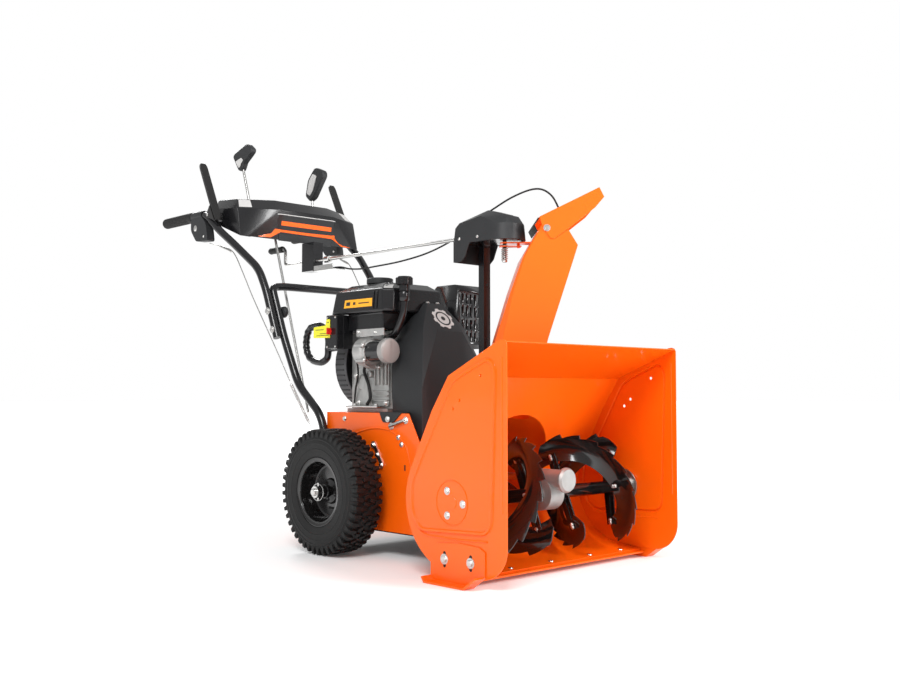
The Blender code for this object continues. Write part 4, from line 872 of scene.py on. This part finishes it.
def frame_details():
    for tag, side in (("R", -1), ("L", 1)):
        x = side * FRAME_SIDE
        hardware = [bolt((x, y, z), (side, 0, 0), 0.0052, 0.0044, 1.35) for y, z in
                    ((-0.1825, 0.306), (-0.194, 0.288), (0.04, 0.35), (0.075, 0.305))]
        hardware += [bolt((x, y, z), (side, 0, 0), 0.0068, 0.0058, 1.4) for y, z in
                     ((-0.154, 0.334), (-0.2105, 0.35))]
        hardware.append(sweep([(x + side * 0.006, -0.154, 0.334), (x + side * 0.006, -0.2105, 0.35)],
                              0.0046, 16))
        strap = soften([(-0.076, 0.292), (-0.088, 0.294), (-0.126, 0.232), (-0.118, 0.222)], 0.003, 3)
        hardware.append(prism(strap, "X", x, x + side * 0.003))
        hardware += [bolt((x + side * 0.003, y, z), (side, 0, 0), 0.0058, 0.005, 1.3) for y, z in
                     ((-0.084, 0.283), (-0.101, 0.258), (-0.118, 0.232))]
        piece(f"frame_bolts_{tag}", merge(*hardware), ZINC, smooth=30)
        arch = smooth_line([(x, 0.098, 0.2), (x, 0.066, 0.262), (x, 0.02, 0.3), (x, -0.04, 0.32),
                            (x, -0.1, 0.3275), (x, -0.1635, 0.318), (x, -0.21, 0.285), (x, -0.232, 0.23)],
                            8)
        piece(f"wheel_arch_{tag}", sweep(arch, 0.0024, 14), ORANGE, smooth=60)
        # Painted shade: a thin dark plate stands for the slot in the frame side.
        slot = soften([(-0.2045, 0.222), (-0.2045, 0.237), (-0.2095, 0.237), (-0.2095, 0.222)], 0.002, 3)
        piece(f"frame_slot_shade_{tag}", prism(slot, "X", x - side * 0.001, x + side * 0.0002), RUBBER_AND_SHADE)
        ear = soften([(-0.108, 0.3685), (-0.1218, 0.3432), (-0.1646, 0.3432), (-0.18, 0.356),
                      (-0.196, 0.3685)],
                     0.006, 4)
        tab = merge(prism(ear, "X", side * 0.1655, side * 0.168),
                    prism([(-0.108, 0.3672), (-0.196, 0.3672), (-0.196, 0.3697), (-0.108, 0.3697)], "X",
                          side * 0.112,
                          side * 0.168))
        piece(f"cover_tab_{tag}", tab, SATIN, bevel=0.0008)
        piece(f"cover_bolt_{tag}", bolt((side * 0.168, -0.142, 0.3515), (side, 0, 0), 0.0056, 0.0046),
              ZINC, smooth=30)

    facet = [Vector(p) for p in ((-0.026, -0.14, 0.661), (-0.046, -0.2, 0.583), (0.046, -0.2, 0.583),
                                 (0.026, -0.14, 0.661))]
    middle = sum(facet, Vector()) / 4 + (facet[1] - facet[0]) * 0.05
    normal = (facet[2] - facet[1]).cross(facet[0] - facet[1]).normalized()
    if normal.y > 0:
        normal = -normal
    teeth = []
    for k in range(48):
        radius = 0.035 if k % 6 in (0, 1, 2) else 0.03
        angle = math.tau * (k + 0.5) / 48
        teeth.append((radius * math.cos(angle), radius * math.sin(angle)))
    badge = prism(teeth, "Z", -0.0004, 0.0008)
    piece("cover_emblem", place(badge, middle, normal), PALE, bevel=0.0003)
    ring = turn([(0.0195, 0.0), (0.024, 0.0), (0.024, 0.0014), (0.0195, 0.0014)], 48)
    piece("cover_emblem_ring",
          place(merge(ring, turn([(0, 0), (0.007, 0), (0.007, 0.0014), (0, 0.0014)], 32)), middle, normal),
          SATIN, smooth=40)
    piece("cover_top_bolts", merge(*[place(bolt((0, 0, 0), (0, 0, 1), 0.0048, 0.0042), (x, -0.13, 0.6615),
                                           (0, 0, 1)) for x in (-0.018, 0.018)]), ZINC, smooth=30)


# ---------------------------------------------------------------- chute
def chute_details():
    turned = Matrix.Translation((0, CHUTE_Y, 0)) @ Matrix.Rotation(math.radians(CHUTE_TURN), 4, "Z")

    def on_chute(shape):
        bmesh.ops.transform(shape, matrix=turned, verts=shape.verts)
        return shape

    flap = [(-0.0745, 0.82), (-0.0665, 0.836), (-0.0785, 0.855), (-0.0802, 0.853), (-0.0695, 0.8362),
            (-0.0768, 0.8212)]
    piece("deflector_hinge_rubber", on_chute(prism(flap, "X", -0.062, 0.062)), RUBBER_AND_SHADE, "chute",
          bevel=0.0006)
    heads = []
    for side in (-1, 1):
        heads.append(bolt((side * 0.0775, -0.098, 0.826), (side, 0, 0), 0.006, 0.005))
    piece("deflector_pivot_bolts", on_chute(merge(*heads)), ZINC, "deflector", smooth=30)
    folds = []
    for side in (-1, 1):
        x = side * 0.0732
        folds.append(sweep([(x, -0.084, 0.56), (x, -0.121, 0.676), (x, -0.143, 0.742)], 0.0016, 14))
    piece("chute_folds", on_chute(merge(*folds)), ORANGE, "chute", smooth=60)
    stub = [turn([(0, 0.7495), (0.0058, 0.7495), (0.0066, 0.7515), (0.0066, 0.755), (0, 0.755)], 24,
                 (0, CHUTE_Y, 0)),
            turn([(0.0052, 0.79), (0.0105, 0.79), (0.0105, 0.7918), (0.0052, 0.7918)], 28, (0, CHUTE_Y, 0))]
    piece("spindle_washers", merge(*stub), ZINC, smooth=40)
    piece("spindle_spring", spring((0, CHUTE_Y, 0.7555), (0, CHUTE_Y, 0.786), 0.0075, 0.0013, 6, 10), ZINC,
          smooth=60)

    # Painted shade: thin dark discs stand for the holes in the chute post.
    hole = rod(0.0042, -0.318, -0.3174, (0.0207, 0, 0.7), "Y", 20)
    piece("post_hole_shade", merge(hole, rod(0.0034, -0.318, -0.3174, (0.0207, 0, 0.56), "Y", 20)), RUBBER_AND_SHADE,
          smooth=40)
    piece("post_bolts", merge(bolt((-0.006, -0.299, 0.3725), (0, 0, 1), 0.006, 0.005),
                              bolt((0.048, -0.299, 0.3725), (0, 0, 1), 0.006, 0.005)), ZINC, smooth=30)
    clip = turn([(0.0026, -0.296), (0.0062, -0.296), (0.0062, -0.284), (0.0026, -0.284)], 24,
                (0.018, 0, 0.8795), "Y")
    piece("cable_clip", clip, ZINC, smooth=40)
    trim = [(x, y, z) for x, y, z in ((-0.02, -0.362, 0.885), (0.02, -0.362, 0.885), (0.02, -0.43, 0.864),
                                      (-0.02, -0.43, 0.864))]
    piece("gear_cover_inset", patch(trim, (0.14, 0.86), (0.16, 0.8), 0.0008), GLOSS, bevel=0.0004)
    screws = merge(*[screw((side * 0.0535, y, z), (side, 0, 0), 0.0042)
                     for side in (-1, 1) for y, z in ((-0.29, 0.815), (-0.355, 0.815))])
    piece("gear_cover_screws", screws, ZINC)


# ---------------------------------------------------------------- console and levers
def console_front(x, z, lift=0.0):
    """Depth of the console's front at a point of it."""
    beyond = max(0.0, (abs(x) - 0.1) / 0.124)
    low, high = 0.46 + 0.018 * beyond, 0.444 + 0.054 * beyond
    return low + (high - low) * (z - 0.885) / 0.095 - lift


def band(spans, lift):
    """A thin plate on the console's front: spans holds (x, low z, high z) from left to right."""
    rows = []
    for x, low, high in spans:
        rows.append([(x, console_front(x, low, -0.0006), low), (x, console_front(x, low, lift), low),
                     (x, console_front(x, high, lift), high), (x, console_front(x, high, -0.0006), high)])
    return loft(rows)


def console_details():
    panel_spans = [(-0.153, 0.9235, 0.9255), (-0.13, 0.9225, 0.964), (-0.1, 0.92, 0.9645),
                   (0.0, 0.9195, 0.965), (0.1, 0.9215, 0.9655), (0.1165, 0.9225, 0.9655),
                   (0.15, 0.9235, 0.9255)]
    piece("badge_panel", band(panel_spans, 0.001), GLOSS, smooth=20)
    stripe = [(-0.166, 0.8935, 0.896), (-0.156, 0.8935, 0.9225), (-0.126, 0.894, 0.9215),
              (-0.1, 0.9095, 0.92), (-0.0945, 0.9125, 0.9195), (0.0, 0.9115, 0.919), (0.1, 0.9107, 0.921),
              (0.105, 0.9095, 0.9225), (0.1315, 0.899, 0.922), (0.147, 0.8915, 0.915),
              (0.165, 0.8915, 0.905),
              (0.189, 0.892, 0.8935)]
    piece("badge_stripe", band(stripe, 0.0014), ORANGE, smooth=20)
    piece("badge_bar", band([(-0.095, 0.933, 0.946), (0.0, 0.933, 0.946), (0.095, 0.933, 0.946)], 0.0018),
          ORANGE, smooth=20)
    edge = []
    for x, z in ((-0.156, 0.923), (-0.131, 0.965), (-0.1, 0.966), (0.0, 0.9665), (0.1, 0.967),
                 (0.118, 0.967), (0.154, 0.924)):
        edge.append((x, console_front(x, z, 0.001), z))
    piece("badge_edge", sweep(edge, 0.0014, 12), PALE, smooth=60)
    lip = [(-0.1, 0.8862, 0.906), (0.0, 0.8862, 0.9075), (0.1, 0.8862, 0.906)]
    piece("console_lip", band(lip, 0.0028), SATIN, bevel=0.001)
    for tag, side in (("R", -1), ("L", 1)):
        # Painted highlight: a pale plate on the console's upper near facet stands for the lamps' reflection
        # in the gloss.
        near = [(side * 0.205, 0.529, 1.011), (side * 0.222, 0.498, 0.977), (side * 0.1, 0.444, 0.98),
                (side * 0.1, 0.48, 1.013)]
        piece(f"console_highlight_{tag}", patch(near, (0.08, 0.86), (0.04, 0.34), 0.0009), PALE, bevel=0.0003)

    for name, body, x, outline, bar, inset in (
            ("speed", "speed_lever", -0.135,
             [(0.606, 1.118), (0.619, 1.121), (0.651, 1.168), (0.645, 1.178), (0.571, 1.2), (0.545, 1.18),
              (0.547, 1.169), (0.567, 1.156), (0.591, 1.142), (0.597, 1.129)],
             [(0.545, 0.925), (0.573, 1.031), (0.607, 1.13)],
             [(0.609, 1.129), (0.617, 1.13), (0.634, 1.152), (0.6, 1.159), (0.59, 1.15), (0.602, 1.14)]),
            ("deflector", "deflector_lever", 0.135,
             [(0.6, 1.06), (0.611, 1.057), (0.634, 1.076), (0.621, 1.129), (0.583, 1.167), (0.539, 1.149),
              (0.535, 1.131), (0.588, 1.066)],
             [(0.575, 0.925), (0.6045, 1.036), (0.61, 1.07)],
             [(0.606, 1.074), (0.624, 1.084), (0.611, 1.126), (0.592, 1.146), (0.57, 1.136),
              (0.59, 1.09)])):
        knob = prism(soften(outline, 0.01, 5), "X", x - 0.011, x + 0.011)
        piece(f"{name}_knob", knob, SATIN, body, bevel=0.0052, segments=4)
        faces = [prism(soften(inset, 0.005, 4), "X", x + side * 0.0106, x + side * 0.0114)
                 for side in (-1, 1)]
        piece(f"{name}_knob_inset", merge(*faces), PALE, body, bevel=0.0003)
        shaft = sweep(rounded([(x, y, z) for y, z in bar], 0.02, 6), 0.004, 18)
        parts = [shaft, rod(0.01, -0.012, 0.012, (x, bar[0][0], bar[0][1]), "X", 32, 0.001)]
        if name == "speed":
            parts.append(prism([(0.55, 0.931), (0.49, 0.913), (0.488, 0.905), (0.55, 0.919)], "X", -0.147,
                               -0.104))
        piece(f"{name}_lever_bar", merge(*parts), BARE, body, [body], smooth=40)


def crank_details():
    plate = merge(box(-0.013, 0.035, 0.299, 0.4, 0.7932, 0.795),
                  box(-0.013, -0.0112, 0.299, 0.4, 0.7932, 0.809),
                  turn([(0.0058, 0.33), (0.01, 0.33), (0.01, 0.352), (0.0058, 0.352)], 28,
                       (0, 0, ROD_Z), "Y"))
    piece("crank_guide", plate, ZINC, "tractor", bevel=0.0006)
    bolts = merge(*[bolt((0.028, y, 0.7985), (0, 0, 1), 0.0046, 0.004) for y in (0.315, 0.345, 0.38)])
    piece("crank_guide_bolts", bolts, ZINC, smooth=30)
    grip = turn([(0, 0.5785), (0.0095, 0.5785), (0.0106, 0.582), (0.01, 0.6), (0.0106, 0.618),
                 (0.01, 0.634),
                 (0.0106, 0.645), (0.008, 0.6512), (0, 0.6514)], 28, (0, 0, 0.88), "Y")
    piece("crank_grip", grip, RUBBER_AND_SHADE, "chute_crank", smooth=60)


# ---------------------------------------------------------------- handlebars
TUBE = 0.0115
GRIP_X, GRIP_Z = 0.25, 0.969


def handlebars():
    right = [(-0.177, 0.085, 0.215), (-0.177, 0.132, 0.358), (-0.179, 0.235, 0.44),
             (-0.183, 0.303, 0.577), (-0.1872, 0.3605, 0.728), (-0.15, 0.3605, 0.733)]
    left = [(-x, y, z) for x, y, z in right[::-1]]
    piece("handle_lower_tube", sweep(rounded(right + left, 0.035, 10), TUBE, 24), BLACK,
          stands_for=["handle_lower"], smooth=60)
    lever = PIVOT["auger_lever_squeeze"]
    shift = 2 * TUBE + 0.0006
    for tag, side in (("R", -1), ("L", 1)):
        route = [(0.183 + shift, 0.303, 0.577), (0.1868 + shift, 0.358, 0.7215), (0.214, 0.392, 0.785),
                 (0.24, 0.485, 0.864), (GRIP_X, 0.55, 0.91), (GRIP_X, 0.628, GRIP_Z),
                 (GRIP_X, 0.866, GRIP_Z)]
        tube = sweep(rounded([(side * x, y, z) for x, y, z in route], 0.03, 10), TUBE, 24)
        piece(f"handle_tube_{tag}", tube, BLACK, stands_for=[f"handle_upper_{tag}"], smooth=60)
        block = soften([(0.612, 0.94), (0.6, 0.884), (0.668, 0.888), (0.7, 0.925), (0.7, 0.966),
                        (0.64, 0.966)], 0.01, 4)
        lug_outline = [(0.59, 0.935), (0.612, 0.95), (0.611, 0.972), (0.6, 0.977), (0.59, 0.972)]
        clamp = merge(prism(block, "X", side * (GRIP_X - 0.0135), side * (GRIP_X + 0.0135)),
                      prism(soften(lug_outline, 0.004, 3), "X", side * (GRIP_X - 0.004),
                            side * (GRIP_X + 0.004)),
                      turn([(0.0117, 0.64), (0.014, 0.64), (0.0148, 0.646), (0.0148, 0.698), (0.014, 0.704),
                            (0.0117, 0.704)], 32, (side * GRIP_X, 0, GRIP_Z), "Y"))
        piece(f"lever_bracket_{tag}", clamp, SATIN, bevel=0.0015)
        hardware = [screw((side * (GRIP_X + 0.0136), 0.622, 0.9), (side, 0, 0), 0.004),
                    screw((side * (GRIP_X + 0.0136), 0.672, 0.93), (side, 0, 0), 0.0095)]
        hardware += [screw((side * (GRIP_X - 0.0136), y, z), (-side, 0, 0), 0.004) for y,
                     z in ((0.622, 0.9), (0.676, 0.935))]
        piece(f"bracket_screws_{tag}", merge(*hardware), ZINC)
        rings = [(0, 0.879), (0.0125, 0.879), (0.016, 0.876), (0.0165, 0.872)]
        y = 0.868
        while y > 0.724:
            rings += [(0.0165, y), (0.015, y - 0.0012), (0.015, y - 0.0038), (0.0165, y - 0.005)]
            y -= 0.009
        rings += [(0.0165, 0.716), (0.0158, 0.708), (0.012, 0.7062), (0.0118, 0.8665), (0, 0.8665)]
        piece(f"grip_sleeve_{tag}", turn(rings, 32, (side * GRIP_X, 0, GRIP_Z), "Y"), RUBBER_AND_SHADE,
              stands_for=[f"grip_{tag}"], smooth=30)
        knob = [(0, 0.0175), (0.012, 0.0175), (0.0165, 0.015), (0.018, 0.01), (0.0165, 0.004),
                (0.009, 0.0), (0, 0.0)]
        star = turn(knob, 10, (0, 0, 0), "Z")
        x_in = 0.1853 - TUBE
        piece(f"handle_knob_{tag}", place(star, (side * x_in, 0.3335, 0.655), (-side, 0, 0)), SATIN,
              bevel=0.0015)
        nuts = [bolt((side * (0.1853 + shift + TUBE - 0.0004), 0.3335, 0.655), (side, 0, 0), 0.0075,
                     0.0055),
                bolt((side * (0.1853 + shift + TUBE - 0.002), 0.312, 0.601), (side, 0, 0), 0.007, 0.005),
                bolt((side * (0.177 + TUBE - 0.001), 0.115, 0.305), (side, 0, 0), 0.0075, 0.0055),
                bolt((side * (0.177 + TUBE - 0.001), 0.096, 0.245), (side, 0, 0), 0.0075, 0.0055)]
        piece(f"handle_bolts_{tag}", merge(*nuts), ZINC, smooth=30)


def squeeze_levers():
    """Pressed bars that stand in front of the grips, on a pin through the brackets."""
    for tag, side, body in (("R", -1, "auger_lever"), ("L", 1, "traction_lever")):
        pivot = (0.6, 0.965)
        bar = hull([(side * GRIP_X + across * half, y, z) for across in (-1, 1) for half, y, z in
                    ((0.0126, 0.5562, 0.9445), (0.0126, 0.563, 0.9405), (0.0126, 0.644, 1.116),
                     (0.0126, 0.652, 1.113), (0.0112, 0.649, 1.126), (0.0112, 0.6575, 1.124),
                     (0.0078, 0.6525, 1.133), (0.0078, 0.6605, 1.13))])
        ears = [prism(soften([(0.56, 0.943), (0.596, 0.954), (0.607, 0.959), (0.6085, 0.968), (0.6, 0.975),
                              (0.588, 0.993)], 0.004, 3), "X", side * GRIP_X + a, side * GRIP_X + b)
                for a, b in ((-0.0148, -0.0126), (0.0126, 0.0148))]
        piece(f"{body}_bar", merge(bar, *ears), AUGER, body, [body], bevel=0.0012, segments=3)
        pin = [rod(0.0055, side * GRIP_X + a, side * GRIP_X + b, (0, *pivot), "X", 24, 0.0008)
               for a, b in ((-0.0162, -0.0146), (0.0146, 0.0162))]
        piece(f"{body}_pin", merge(*pin), ZINC, body, smooth=35)


# ---------------------------------------------------------------- cables
def cables():
    for name, tag, side in (("auger_cable", "R", -1), ("traction_cable", "L", 1)):
        route = [(0.24, 0.625, 0.881), (0.23, 0.57, 0.866), (0.222, 0.517, 0.843), (0.22, 0.462, 0.771),
                 (0.217, 0.412, 0.695), (0.213, 0.3, 0.545), (0.21, 0.235, 0.453)]
        wire_line = smooth_line([(side * x, y, z) for x, y, z in route], 6)
        spring_low, spring_high = (side * 0.206, 0.15, 0.34), (side * 0.2097, 0.228, 0.443)
        tail = sweep([spring_low, (side * 0.2055, 0.143, 0.33), (side * 0.205, 0.135, 0.305)], 0.0016, 10)
        barrel = sweep([(side * 0.2315, 0.578, 0.8675), (side * 0.2235, 0.527, 0.8475)], 0.0034, 16)
        wire = piece(f"clutch_wire_{tag}", sweep(wire_line, 0.0016, 12), BARE, stands_for=[name], smooth=60)
        piece(f"clutch_wire_ends_{tag}", merge(tail, barrel), BARE, smooth=50)
        piece(f"clutch_spring_{tag}", spring(spring_high, spring_low, 0.0038, 0.0008, 34), ZINC)

    route = [(0.02, 0.33, 0.802), (0.02, 0.298, 0.8), (0.02, 0.256, 0.791), (0.02, 0.2, 0.7865),
             (0.02, 0.139, 0.788), (0.02, 0.027, 0.7925), (0.018, -0.09, 0.805), (0.018, -0.19, 0.83),
             (0.018, -0.258, 0.859), (0.018, -0.3, 0.879), (0.02, -0.345, 0.897), (0.032, -0.395, 0.92),
             (0.05, -0.442, 0.9355), (0.068, -0.468, 0.935), (0.084, -0.487, 0.917), (0.095, -0.498, 0.888)]
    line = smooth_line(route, 5)
    cable = piece("deflector_cable_line", sweep(line, 0.0024, 14), RUBBER_AND_SHADE, None, ["deflector_cable"],
                  smooth=60)
    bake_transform(cable)


wheels()
side_plates()
augers()
impeller()
scraper_bolts()
engine()
frame_details()
chute_details()
console_details()
crank_details()
handlebars()
squeeze_levers()
cables()


# ---------------------------------------------------------------- studio
CAMERA_AT = (-1.906, -2.194 + AXLE_Y, 0.422)
CAMERA_TILT, CAMERA_TURN = 93.0, -43.7   # degrees
AIM = Vector((0, 0, 0.45))               # where the lamps point


def studio():
    scene = bpy.context.scene
    scene.view_settings.view_transform = "Standard"
    camera = bpy.data.objects.new("camera", bpy.data.cameras.new("camera"))
    camera.data.lens = 41.5
    camera.location = CAMERA_AT
    camera.rotation_euler = (math.radians(CAMERA_TILT), 0, math.radians(CAMERA_TURN))
    scene.collection.objects.link(camera)
    scene.camera = camera

    world = bpy.data.worlds.new("studio")
    world.use_nodes = True
    backdrop = world.node_tree.nodes["Background"]
    backdrop.inputs["Color"].default_value = (1, 1, 1, 1)
    rays = world.node_tree.nodes.new("ShaderNodeLightPath")
    strength = world.node_tree.nodes.new("ShaderNodeMapRange")
    strength.inputs["To Min"].default_value = 0.55
    strength.inputs["To Max"].default_value = 1.0
    world.node_tree.links.new(rays.outputs["Is Camera Ray"], strength.inputs["Value"])
    world.node_tree.links.new(strength.outputs["Result"], backdrop.inputs["Strength"])
    scene.world = world

    for name, where, size, power in (("key", (-2.6, -2.2, 3.0), 1.4, 105),
                                     ("front", (1.0, -3.4, 1.7), 1.0, 80),
                                     ("rim", (1.0, 3.0, 2.6), 1.0, 60)):
        light = bpy.data.lights.new(name, "AREA")
        light.shape = "SQUARE"
        light.size = size
        light.energy = power
        lamp = bpy.data.objects.new(name, light)
        lamp.location = where
        lamp.rotation_euler = (AIM - Vector(where)).to_track_quat("-Z", "Y").to_euler()
        scene.collection.objects.link(lamp)

    floor = bmesh.new()
    bmesh.ops.create_grid(floor, x_segments=1, y_segments=1, size=40)
    mesh = bpy.data.meshes.new("floor")
    floor.to_mesh(mesh)
    floor.free()
    mat = bpy.data.materials.new("floor")
    mat.use_nodes = True
    nodes = mat.node_tree.nodes
    shader = nodes["Principled BSDF"]
    for socket, value in (("Base Color", (0.93, 0.93, 0.93, 1)), ("Roughness", 0.7),
                          ("Specular IOR Level", 0.1), ("Emission Color", (1, 1, 1, 1))):
        shader.inputs[socket].default_value = value
    # Painted light: the floor glows faintly near the machine and more strongly further out, so it stays
    # white out to the horizon.
    place_in = nodes.new("ShaderNodeTexCoord")
    away = nodes.new("ShaderNodeVectorMath")
    away.operation = "LENGTH"
    floor_glow = nodes.new("ShaderNodeMapRange")
    for socket, value in (("From Min", 0.6), ("From Max", 2.4), ("To Min", 0.03), ("To Max", 0.8)):
        floor_glow.inputs[socket].default_value = value
    mat.node_tree.links.new(place_in.outputs["Object"], away.inputs[0])
    mat.node_tree.links.new(away.outputs["Value"], floor_glow.inputs["Value"])
    mat.node_tree.links.new(floor_glow.outputs["Result"], shader.inputs["Emission Strength"])
    mesh.materials.append(mat)
    obj = bpy.data.objects.new("floor", mesh)
    obj.location.z = -0.0005
    scene.collection.objects.link(obj)


studio()
